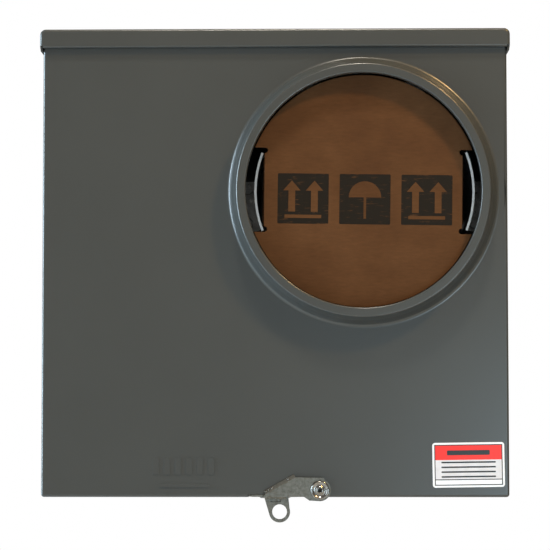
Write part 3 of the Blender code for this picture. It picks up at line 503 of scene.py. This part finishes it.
def ringProfile():
    # from the flat sheet up a fillet and the slope, over the shoulder, and back at the opening
    sheet = coverSheet
    crest = coverLow.y
    radius, rise, step = sheet["ledgeRadius"], sheet["ledgeRise"], sheet["ledgeStep"]
    corners = [
        (sheet["footRadius"] + sheet["footRun"], faceY),
        (sheet["footRadius"], faceY),
        (radius + step, faceY - rise + sheet["ledgeHeight"]),
        (radius - step, faceY - rise),
        (sheet["shoulderRadius"], crest),
        (sheet["openingRadius"], crest),
        (sheet["openingRadius"], crest + sheet["lipReturn"]),
    ]
    rounds = ["footFillet", "ledgeRound", "ledgeRound", "shoulderRound", "lipRound"]
    points = [corners[0]]
    for index, rounding in enumerate(rounds, 1):
        points += fillet(*corners[index - 1:index + 2], sheet[rounding], sheet["roundSteps"])
    return [*points, corners[-1]]


def sweepRing(shape):
    # the raised ring as rows of points about the opening's centre; returns the outermost row
    steps = coverSheet["ringSteps"]
    turns = [2 * math.pi * step / steps for step in range(steps)]
    rows = []
    for radius, y in ringProfile():
        circle = [(ringX + radius * math.cos(turn), y, ringZ + radius * math.sin(turn)) for turn in turns]
        rows.append([shape.verts.new(corner) for corner in circle])
    for row, following in zip(rows, rows[1:]):
        for step in range(steps):
            after = (step + 1) % steps
            shape.faces.new((row[step], row[after], following[after], following[step]))
    return rows[0]


def buildCover():
    sheet = coverSheet
    backY = faceY + sheet["flange"]
    path = foldPath(coverHigh.x, coverLow.z, coverHigh.z, sheet["corner"])
    shape = bmesh.new()
    rows = sweepRows(shape, path, [*quarterBend(sheet["bend"], faceY), (0.0, backY, 1.0, None)])
    edges = edgeLoop(shape, rows[0]) + edgeLoop(shape, sweepRing(shape))
    bmesh.ops.triangle_fill(shape, edges=edges, use_beauty=True, use_dissolve=False)
    cover = thicken("coverSheet", shape, (0, -1, 0), sheet["thickness"])
    past = sheet["past"]
    gap = rectangle(*sheet["notch"], coverLow.z - past, coverLow.z + sheet["notchTop"])
    combine(cover, slab("notch", gap, faceY - past, backY + past), "DIFFERENCE")
    soften(cover, 0)
    dress(cover, "bakedEnamel", "cover")
    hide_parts("cover")


buildCover()
print("cover made")

embossing = {
    "ribs": 6, "ribWidth": 4.2 * mm, "pitch": 7.8 * mm, "left": -86.0 * mm,
    "low": 15.8 * mm, "high": 27.6 * mm, "proud": 0.45 * mm, "sunk": 0.4 * mm, "corner": 0.9 * mm,
    "edge": 0.22 * mm, "bar": (-81.0 * mm, -46.0 * mm), "barLow": 6.9 * mm, "barHigh": 9.3 * mm,
}


def buildEmbossing():
    # plain raised ribs and a bar pressed into the lower left of the cover
    look = embossing
    base = coverLow.z
    places = []
    for number in range(look["ribs"]):
        left = look["left"] + number * look["pitch"]
        places.append((left, left + look["ribWidth"], base + look["low"], base + look["high"]))
    places.append((*look["bar"], base + look["barLow"], base + look["barHigh"]))
    for number, place in enumerate(places, 1):
        outline = roundCorners(rectangle(*place), look["corner"])
        rib = slab(f"coverRib{number}", outline, faceY - look["proud"], faceY + look["sunk"])
        soften(rib, look["edge"], 3)
        dress(rib, "bakedEnamel", "cover")


buildEmbossing()

capSheet = {
    "thickness": 1.5 * mm, "bend": 2.0 * mm, "corner": 4.2 * mm, "hem": 1.575 * mm, "hemUp": 6.0 * mm,
    "lipEdge": 13.3 * mm, "joggleY": -99.4 * mm, "joggleRise": 1.6 * mm, "joggleRun": 1.0 * mm,
    "rearHalf": 164.8 * mm, "rearEnd": 140.0 * mm, "skirt": 2.3 * mm, "skirtIn": 0.5 * mm,
    "skirtTop": 0.15 * mm, "hubBore": 29.0 * mm, "boreDepth": 5.0 * mm,
}


def addHem(shape, ends, front, lipZ):
    # rolled hem along the lip's lower edge, between the ends of the front row
    radius = capSheet["hem"]
    middleY, middleZ = front + radius, lipZ + radius
    turns = [math.radians(180 * step / 8) for step in range(1, 9)]
    section = [(middleY - radius * math.cos(turn), middleZ - radius * math.sin(turn)) for turn in turns]
    section.append((front + 2 * radius, lipZ + capSheet["hemUp"]))
    previous = ends
    for y, z in section:
        current = tuple(shape.verts.new((end.co.x, y, z)) for end in ends)
        shape.faces.new((previous[0], previous[1], current[1], current[0]))
        previous = current


def addSkirts(shape, rows, half, lipZ):
    # skirts at both sides, below the lip, that turn in towards the cover
    look = capSheet
    for index, side in ((0, -1), (-1, 1)):
        columns = [row[index] for row in rows[8:10]]
        upperX, lowerX = side * (half - look["skirtTop"]), side * (half - look["skirtIn"])
        upper = [shape.verts.new((upperX, corner.co.y, lipZ)) for corner in columns]
        lower = [shape.verts.new((lowerX, corner.co.y, lipZ - look["skirt"])) for corner in columns]
        shape.faces.new((columns[0], columns[1], upper[1], upper[0]))
        shape.faces.new((upper[0], upper[1], lower[1], lower[0]))


def hubBore(top):
    # cutter for the round hole under the closing plate
    gasketLow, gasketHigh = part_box("hub_gasket")
    place = ((gasketLow.x + gasketHigh.x) / 2, (gasketLow.y + gasketHigh.y) / 2, top)
    radius, depth = capSheet["hubBore"], capSheet["boreDepth"]
    bore = lathe("bore", [(0, -depth), (radius, -depth), (radius, depth), (0, depth)], (0, 0), 64)
    bore.data.transform(Matrix.Translation(place) @ Matrix.Rotation(math.radians(90), 4, "X"))
    return bore


def buildCap():
    look = capSheet
    half, top, front = capHigh.x, capHigh.z, capLow.y
    lipZ = top - look["lipEdge"]
    path = foldPath(half, top, lipZ + look["hem"], look["corner"], 8)
    narrow = look["rearHalf"] / half
    profile = [
        *quarterBend(look["bend"], front),
        (0.0, look["joggleY"] - look["joggleRise"], 1.0, None),
        (0.0, look["joggleY"], narrow, None),
        (0.0, look["joggleY"] + look["joggleRun"], narrow, look["rearEnd"]),
        (0.0, capHigh.y, narrow, look["rearEnd"]),
    ]
    shape = bmesh.new()
    rows = sweepRows(shape, path, profile)
    bmesh.ops.triangle_fill(shape, edges=edgeLoop(shape, rows[0]), use_beauty=True, use_dissolve=False)
    addHem(shape, (rows[0][0], rows[0][-1]), front, lipZ)
    addSkirts(shape, rows, half, lipZ)
    cap = thicken("capSheet", shape, (0, 0, 1), look["thickness"])
    combine(cap, hubBore(top), "DIFFERENCE")
    soften(cap, 0)
    dress(cap, "bakedEnamel", "enclosure")
    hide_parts("top_end_wall")


buildCap()
print("cap made")

labelPrint = {
    "width": 50.6 * mm, "height": 31.4 * mm, "corner": 2.0 * mm, "tilt": 0.8,
    "film": 0.18 * mm, "ink": 0.03 * mm, "gap": 0.1 * mm, "border": 1.4 * mm, "line": 0.65 * mm,
    "band": 10.1 * mm, "footer": 3.1 * mm, "bar": (30.0 * mm, 3.4 * mm), "barRound": 0.6 * mm,
    "rules": 4, "ruleShare": 0.82, "ruleHeight": 1.1 * mm, "ruleRound": 0.3 * mm,
}


def buildLabel():
    # a blank film label: white edge, thin frame, a red band with one bar, and equal ruled lines
    look = labelPrint
    low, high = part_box("cover_label")
    centreX, centreZ = (low.x + high.x) / 2, (low.z + high.z) / 2
    back = faceY - look["gap"]
    film = back - look["film"]
    askew = Matrix.Rotation(math.radians(-look["tilt"]), 4, "Y")
    place = Matrix.Translation((centreX, 0, centreZ)) @ askew

    def layer(name, outline, level, finish, holes=()):
        front = film - level * look["ink"]
        piece = slab(name, outline, front, front + look["ink"] * 0.95, holes)
        piece.data.transform(place)
        dress(piece, finish, "cover")

    halfX, halfZ = look["width"] / 2, look["height"] / 2
    sheet = roundCorners(rectangle(-halfX, halfX, -halfZ, halfZ), look["corner"], 6)
    base = slab("labelFilm", sheet, film, back)
    base.data.transform(place)
    soften(base, 0.04 * mm, 2)
    dress(base, "labelBorderWhite", "cover")
    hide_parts("cover_label")
    inX, inZ = halfX - look["border"], halfZ - look["border"]
    line = look["line"]
    layer("labelFrame", rectangle(-inX, inX, -inZ, inZ), 1, "labelBlackInk",
          [rectangle(-inX + line, inX - line, -inZ + line, inZ - line)])
    fieldX, fieldZ = inX - line, inZ - line
    bandLow = fieldZ - look["band"]
    footTop = -fieldZ + look["footer"]
    layer("labelBand", rectangle(-fieldX, fieldX, bandLow, fieldZ), 1, "signalRedInk")
    layer("labelField", rectangle(-fieldX, fieldX, footTop + line, bandLow), 1, "labelVinyl")
    layer("labelRule", rectangle(-fieldX, fieldX, footTop, footTop + line), 1, "labelBlackInk")
    middle = (bandLow + fieldZ) / 2
    barX, barZ = look["bar"][0] / 2, look["bar"][1] / 2
    bar = rectangle(-barX, barX, middle - barZ, middle + barZ)
    layer("labelBar", roundCorners(bar, look["barRound"]), 2, "labelBlackInk")
    room = (bandLow - footTop - line) / look["rules"]
    ruleX, ruleZ = fieldX * look["ruleShare"], look["ruleHeight"] / 2
    for number in range(look["rules"]):
        centre = bandLow - (number + 0.5) * room
        rule = rectangle(-ruleX, ruleX, centre - ruleZ, centre + ruleZ)
        layer(f"labelRule{number + 1}", roundCorners(rule, look["ruleRound"], 2), 2, "labelBlackInk")


buildLabel()
print("label made")

insertBoard = {
    "radius": 82.5 * mm, "thickness": 3.0 * mm, "fold": 70.0 * mm, "slotEnd": 30.0 * mm,
    "notch": 2.0 * mm, "notchIn": 0.3 * mm, "turn": 0.8, "edge": 0.25 * mm,
    "flapHalf": 22.0 * mm, "lean": 1.3 * mm, "flapEdge": 0.2 * mm, "print": 0.05 * mm,
}


def slotSide(side, top):
    # the notch at one end of a slot: from the disc's edge to the fold line, (x, z) from the centre
    look = insertBoard
    notch, end = look["notch"], look["slotEnd"]
    centre = (look["fold"] - look["notchIn"], end - notch)
    points = [(math.sqrt(look["radius"] ** 2 - end ** 2), end), *pointsOnArc(centre, notch, 90, 270, 8),
              (look["fold"], centre[1] - notch)]
    return [(side * x, top * z) for x, z in points]


def turnInsert(item):
    # the board sits a little askew in the opening
    centre = Matrix.Translation((ringX, 0, ringZ))
    askew = Matrix.Rotation(math.radians(insertBoard["turn"]), 4, "Y")
    item.data.transform(centre @ askew @ centre.inverted())
    return item


def insertOutline():
    look = insertBoard
    reach = math.degrees(math.asin(look["slotEnd"] / look["radius"]))
    outline = [
        *slotSide(1, 1)[::-1], *pointsOnArc((0, 0), look["radius"], reach, 180 - reach, 90)[1:-1],
        *slotSide(-1, 1), *slotSide(-1, -1)[::-1],
        *pointsOnArc((0, 0), look["radius"], 180 + reach, 360 - reach, 90)[1:-1], *slotSide(1, -1),
    ]
    return [(ringX + x, ringZ + z) for x, z in outline]


def buildFlap(side, name):
    # the cut-out part of a slot, folded back and leaning a little outwards
    look = insertBoard
    front, deep = insertLow.y, insertHigh.y
    edge = ringX + side * look["fold"]
    inner = edge - side * look["thickness"]
    lean = side * look["lean"]
    outline = [
        (edge - side * 0.6 * mm, front + 0.1 * mm), (edge, front + 0.9 * mm),
        (edge + lean, deep - 0.3 * mm), (edge + lean - side * 0.3 * mm, deep),
        (inner + lean, deep), (inner, front + look["thickness"] + 0.01 * mm),
    ]
    corners = [(x, y, ringZ - look["flapHalf"]) for x, y in outline]
    flap = turnInsert(prism(name, corners, (0, 0, 2 * look["flapHalf"])))
    soften(flap, look["flapEdge"], 2)
    dress(flap, "kraftBoard", "insert")


def buildInsert():
    front = insertLow.y
    board = turnInsert(slab("insertBoard", insertOutline(), front, front + insertBoard["thickness"]))
    soften(board, insertBoard["edge"], 2)
    dress(board, "kraftBoard", "insert")
    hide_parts("shipping_insert")
    buildFlap(-1, "insertFlapLeft")
    buildFlap(1, "insertFlapRight")


buildInsert()

handlingMark = {
    "panel": (36.0 * mm, 35.6 * mm), "pitch": 43.7 * mm, "low": -23.8 * mm, "left": 1.3 * mm,
    "corner": 0.8 * mm, "gap": 0.005 * mm, "top": 5.0 * mm, "foot": 4.0 * mm,
    "arrowHalf": 6.2 * mm, "stemHalf": 2.4 * mm, "arrowHead": 1.15, "arrowApart": 8.0 * mm,
    "arrowFoot": 8.5 * mm, "barHalf": 13.0 * mm, "barTop": 6.4 * mm,
    "umbrella": 11.5 * mm, "stickHalf": 0.9 * mm,
}


def arrowSign(x, low, high):
    # an upright arrow, as the outline of a bare patch in the ink
    wide, stem = handlingMark["arrowHalf"], handlingMark["stemHalf"]
    neck = high - handlingMark["arrowHead"] * wide
    return [(x - stem, low), (x + stem, low), (x + stem, neck), (x + wide, neck), (x, high),
            (x - wide, neck), (x - stem, neck)]


def umbrellaSign(x, low, high):
    # a round canopy with a stick below it
    radius, stick = handlingMark["umbrella"], handlingMark["stickHalf"]
    canopyZ = high - radius
    canopy = pointsOnArc((x, canopyZ), radius, 0, 180, 24)
    return [(x - stick, low), (x + stick, low), (x + stick, canopyZ), *canopy, (x - stick, canopyZ)]


def buildHandlingMark():
    # three flexo-printed panels with plain carton signs left bare: this side up, keep dry, this side up
    look = handlingMark
    front = insertLow.y
    width, height = look["panel"]
    low = ringZ + look["low"]
    foot, top = low + look["foot"], low + height - look["top"]
    for number in range(3):
        middle = ringX + look["left"] + (number - 1) * look["pitch"]
        if number == 1:
            holes = [umbrellaSign(middle, foot, top)]
        else:
            holes = [arrowSign(middle + side * look["arrowApart"], low + look["arrowFoot"], top)
                     for side in (-1, 1)]
            bar = look["barHalf"]
            holes.append(rectangle(middle - bar, middle + bar, foot, low + look["barTop"]))
        panel = rectangle(middle - width / 2, middle + width / 2, low, low + height)
        mark = slab(f"insertPrint{number + 1}", roundCorners(panel, look["corner"], 3),
                    front - insertBoard["print"], front - look["gap"], holes)
        turnInsert(mark)
        dress(mark, "flexoInk", "insert")


buildHandlingMark()
print("insert made")

lever = {
    "front": -4.2 * mm, "sheet": 1.4 * mm, "round": 7.7 * mm, "bore": 3.2 * mm, "edge": 0.5 * mm,
    # outline corners, (x, z) in mm
    "heel": (-7.5, -166.0), "toe": (-7.1, -164.2), "brow": (15.0, -151.9), "crown": (34.6, -152.3),
    "chin": [(24.4, -168.2), (20.6, -165.6)],
    # the tab with the seal hole, one step behind the plate
    "tabFront": -1.9 * mm, "tabHole": (3.4 * mm, -176.2 * mm), "hole": 5.45 * mm, "tabRadius": 7.4 * mm,
    "tabTop": [(-7.2, -166.4), (8.3, -166.4)], "slot": rectangle(-3.4, 4.5, -169.3, -167.4),
    "slotRound": 0.9 * mm, "stepLeft": -6.9 * mm, "stepWidth": 15.0 * mm,
    # the flange folded back along the slanting edge, and the upper edge's return
    "flangeGap": 0.7 * mm, "flangeStart": 0.6 * mm, "flangeEnd": 0.3 * mm,
    "return": [(16.0, -153.4), (33.6, -153.4), (33.6, -152.36), (16.0, -151.98)], "returnBack": 0.3 * mm,
    # beads: how far along the flange, then (radius, distance before the fold) of each one
    "beads": (1.9, 4.2, 6.7, 19.6), "beadOut": 1.75 * mm,
    "bead": [(0, -2.9), (0.55, -2.6), (0.75, -1.9), (0.6, -1.2), (0, -0.9)],
}


def tangentTab(centre, radius, left, right, steps):
    # two corners joined by straight sides that run into an arc round the centre
    sides = []
    for corner, sign in ((left, -1), (right, 1)):
        away = Vector(corner) - Vector(centre)
        turn = math.acos(radius / away.length)
        sides.append(math.degrees(math.atan2(away.y, away.x) - sign * turn))
    start, end = sides[1], sides[0]
    while end > start:
        end -= 360
    return [left, right, *pointsOnArc(centre, radius, start, end, steps)]


def leverTab(tabFront, tabBack):
    look = lever
    outline = tangentTab(look["tabHole"], look["tabRadius"], *inMm(look["tabTop"]), 36)
    ringHole = pointsOnArc(look["tabHole"], look["hole"], 0, 360, 48)[:-1]
    slot = roundCorners(inMm(look["slot"]), look["slotRound"], 5)
    return slab("hanging", outline, tabFront, tabBack, [ringHole, slot])


def leverStep(front, back, tabFront, tabBack):
    # the short bend that joins the plate to the tab behind it, in side view (y, z)
    inside = 0.02 * mm
    outline = [
        (front + inside, -163.6 * mm), (front + 0.5 * mm, -164.8 * mm),
        (tabFront + inside, -166.9 * mm), (tabBack - inside, -167.1 * mm),
        (tabBack - inside, -166.2 * mm), (back - inside, -163.2 * mm),
    ]
    corners = [(lever["stepLeft"], y, z) for y, z in outline]
    return prism("joggle", corners, (lever["stepWidth"], 0, 0))


def leverFlange(front, back, fold, toe, brow, along, outward):
    section = [
        (front + 0.05 * mm, -0.6 * mm), (front + 0.35 * mm, 0.35 * mm), (fold - 1.0 * mm, 2.5 * mm),
        (fold, 2.3 * mm), (back, -0.5 * mm),
    ]
    shape = bmesh.new()
    ends = []
    for start in (toe + along * lever["flangeStart"], brow - along * lever["flangeEnd"]):
        spots = [(start + outward * push, depth) for depth, push in section]
        ends.append([shape.verts.new((spot.x, depth, spot.y)) for spot, depth in spots])
    shape.faces.new(ends[0])
    shape.faces.new(ends[1][::-1])
    for index in range(len(section)):
        after = (index + 1) % len(section)
        shape.faces.new((ends[0][index], ends[0][after], ends[1][after], ends[1][index]))
    return fromBmesh("flange", shape)


def buildLever():
    look = lever
    front = faceY + look["front"]
    back = front + look["sheet"]
    tabFront = faceY + look["tabFront"]
    tabBack = tabFront + look["sheet"]
    fold = faceY - look["flangeGap"]
    nose = pointsOnArc((rivetX, rivetZ), look["round"], 62, -92, 20)
    slant = inMm([look["heel"], look["toe"], look["brow"], look["crown"]])
    bore = pointsOnArc((rivetX, rivetZ), look["bore"], 0, 360, 32)[:-1]
    plate = slab("latchLever", [*slant, *nose, *inMm(look["chin"])], front, back, [bore])
    toe, brow = Vector(slant[1]), Vector(slant[2])
    along = (brow - toe).normalized()
    outward = Vector((-along.y, along.x))
    combine(plate, leverTab(tabFront, tabBack), "UNION")
    combine(plate, leverStep(front, back, tabFront, tabBack), "UNION")
    combine(plate, leverFlange(front, back, fold, toe, brow, along, outward), "UNION")
    edge = slab("returnEdge", inMm(look["return"]), front + look["returnBack"], fold)
    combine(plate, edge, "UNION")
    soften(plate, look["edge"], 3, 28)
    dress(plate, "rolledStainless", "latch")
    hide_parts("latch_lever")
    # small upset beads along the folded flange
    profile = [(radius * mm, fold + depth * mm) for radius, depth in look["bead"]]
    for number, reach in enumerate(look["beads"], 1):
        spot = toe + along * reach * mm + outward * look["beadOut"]
        bead = lathe(f"latchBead{number}", profile, spot, 16)
        soften(bead, 0)
        dress(bead, "burnishedRivet", "latch")


buildLever()

rivetHead = {
    "steps": 96, "bore": 1.3 * mm, "boreFloor": 1.5 * mm, "crownGap": 0.05 * mm,
    # (radius, distance behind the crown) in mm: dome, valley and rolled rim
    "crown": [(1.35, 1.0), (1.5, 0.45), (1.8, 0.2), (2.3, 0.25), (2.8, 0.7), (3.3, 1.1), (3.9, 1.2),
              (4.5, 1.0), (5.0, 0.55), (5.5, 0.22), (5.9, 0.15), (6.3, 0.35), (6.6, 0.9)],
    # (radius, distance behind the lever's front) in mm: underside of the rim, and collar
    "collar": [(6.68, -0.5), (6.5, -0.15), (2.8, -0.1), (2.8, 1.5), (4.6, 1.7)],
    # (radius, distance behind the cover's face) in mm: shank and flared end
    "shank": [(4.6, -0.1), (2.6, -0.1), (2.6, 1.8), (3.6, 1.9), (3.2, 2.45), (0, 2.48)],
}


def buildRivet():
    # a set hollow rivet: rolled rim, valley and a dome with an open bore
    look = rivetHead
    floor = faceY + look["boreFloor"]
    profile = [(0, floor), (look["bore"], floor)]
    starts = {"crown": rivetLow.y + look["crownGap"], "collar": faceY + lever["front"], "shank": faceY}
    for part, start in starts.items():
        profile += [(radius * mm, start + depth * mm) for radius, depth in look[part]]
    rivet = lathe("latchRivet", profile, (rivetX, rivetZ), look["steps"])
    soften(rivet, 0, angle=50)
    dress(rivet, "burnishedRivet", "cover")
    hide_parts("latch_rivet")


buildRivet()
print("latch made")

# pieces whose shape comes straight from the frame: the start of each name, and the edge rounding in mm
keptPieces = {
    "bakedEnamel": (["back_pan", "bottom_end_wall", "hub_closing_plate"], 0.35),
    "dieCutNeoprene": (["hub_gasket"], 0.15),
    "rolledStainless": (["latch_hasp"], 0.2),
    "burnishedRivet": (["hasp_rivet"], 0.2),
    "zincPlating": (["hub_screw", "base_screw", "support_screw", "bracket_screw", "neutral_screw",
                     "ground_screw", "ground_bolt", "lug_1_screw", "lug_2_screw", "lug_3_screw",
                     "lug_4_screw", "meter_support", "neutral_bracket"], 0.25),
    "extrudedAluminium": (["lug_", "neutral_bar", "ground_lug"], 0.4),
    "tinPlating": (["jaw_1", "jaw_2", "jaw_3", "jaw_4"], 0.3),
    "springSteel": (["jaw_spring"], 0.25),
    "mouldedPhenolic": (["jaw_base"], 0.8),
}


def finishKept():
    done = set()
    for finish, (prefixes, width) in keptPieces.items():
        for nodeName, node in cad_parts.items():
            if nodeName in done or not any(nodeName.startswith(prefix) for prefix in prefixes):
                continue
            done.add(nodeName)
            node.data.materials.clear()
            node.data.materials.append(finishes[finish])
            bevel = node.modifiers.new("edges", "BEVEL")
            bevel.width = width * mm
            bevel.segments = 2
            bevel.limit_method = "ANGLE"
            bevel.angle_limit = math.radians(35)
            weighted = node.modifiers.new("normals", "WEIGHTED_NORMAL")
            weighted.keep_sharp = True
    return done


kept = finishKept()
print("kept pieces dressed:", len(kept))

# angles in radians, lens in mm
view = {
    "place": (27.7 * mm, faceY - 1.5, -97.4 * mm), "lens": 138.95,
    "yaw": -0.0183, "pitch": 0.0586, "roll": -0.0004,
}


def buildCamera():
    camera = bpy.data.objects.new("camera", bpy.data.cameras.new("camera"))
    bpy.context.scene.collection.objects.link(camera)
    yaw, pitch = view["yaw"], view["pitch"]
    ahead = Vector((math.sin(yaw) * math.cos(pitch), math.cos(yaw) * math.cos(pitch), math.sin(pitch)))
    turned = ahead.to_track_quat("-Z", "Y").to_matrix().to_4x4() @ Matrix.Rotation(view["roll"], 4, "Z")
    camera.matrix_world = Matrix.Translation(view["place"]) @ turned
    camera.data.lens = view["lens"]
    camera.data.sensor_width = 36
    camera.data.clip_start, camera.data.clip_end = 0.05, 60
    bpy.context.scene.camera = camera


buildCamera()

floorLook = {"drop": 0.42, "size": 3.2, "colour": "#f2f2f0"}


def buildFloor():
    bpy.ops.mesh.primitive_circle_add(vertices=96, radius=floorLook["size"], fill_type="NGON",
                                      location=(0, 0.2, cadBounds[0][2] - floorLook["drop"]))
    floor = bpy.context.object
    floor.name = "paleFloor"
    material, tree, shader = newMaterial("paleFloorPaint", Roughness=0.8)
    shader.inputs["Base Color"].default_value = linearColour(floorLook["colour"])
    floor.data.materials.append(material)


buildFloor()

lamps = {
    # name: place, aim, width, height, watts, colour
    "windowLeft": ((-1.9, -0.5, 0.35), (0, -0.1, 0), 0.9, 1.5, 26, "#dff2ff"),
    "windowFarLeft": ((-2.0, -0.15, 0.2), (0, -0.1, 0), 0.55, 1.3, 74, "#d0ecff"),
    "ceilingLamp": ((0.0, -0.85, 1.9), (0.06, -0.12, 0.0), 0.22, 0.22, 30, "#fff6e6"),
    "fillLowRight": ((0.72, -2.1, -0.36), (0.1, -0.12, -0.1), 0.6, 0.4, 12, "#cfeeff"),
    "warmLampHigh": ((0.75, -0.75, 1.0), (0.06, -0.12, 0.05), 0.12, 0.12, 15.0, "#ffce86"),
}


def buildLamps():
    for name, (place, aim, width, height, watts, colour) in lamps.items():
        data = bpy.data.lights.new(name, "AREA")
        data.shape = "RECTANGLE"
        data.size, data.size_y = width, height
        data.energy = watts
        data.color = linearColour(colour)[:3]
        lamp = bpy.data.objects.new(name, data)
        lamp.location = place
        lamp.rotation_mode = "QUATERNION"
        lamp.rotation_quaternion = (Vector(aim) - Vector(place)).to_track_quat("-Z", "Y")
        bpy.context.scene.collection.objects.link(lamp)


buildLamps()

sky = {"seen": "#ffffff", "room": "#fffbf2", "strength": 0.5, "behind": 0.3}


def buildWorld():
    # white behind the object; for the light, a soft room that brightens towards the viewer's side
    world = bpy.data.worlds.new("studio")
    bpy.context.scene.world = world
    world.use_nodes = True
    tree = world.node_tree
    tree.nodes.clear()
    direction = addNode(tree, "ShaderNodeTexCoord")
    parts = addNode(tree, "ShaderNodeSeparateXYZ", links={"Vector": direction.outputs["Generated"]})
    spread = addNode(tree, "ShaderNodeMapRange", links={"Value": parts.outputs["Y"]},
                     From_Min=sky["behind"], From_Max=-1.0, To_Min=0.0, To_Max=sky["strength"])
    room = addNode(tree, "ShaderNodeBackground", links={"Strength": spread.outputs[0]},
                   Color=linearColour(sky["room"]))
    seen = addNode(tree, "ShaderNodeBackground", Color=linearColour(sky["seen"]), Strength=1.0)
    path = addNode(tree, "ShaderNodeLightPath")
    mixed = addNode(tree, "ShaderNodeMixShader", links={"Fac": path.outputs["Is Camera Ray"]})
    tree.links.new(room.outputs[0], mixed.inputs[1])
    tree.links.new(seen.outputs[0], mixed.inputs[2])
    addNode(tree, "ShaderNodeOutputWorld", links={"Surface": mixed.outputs[0]})
    bpy.context.scene.view_settings.view_transform = "Standard"


buildWorld()
print("studio made")
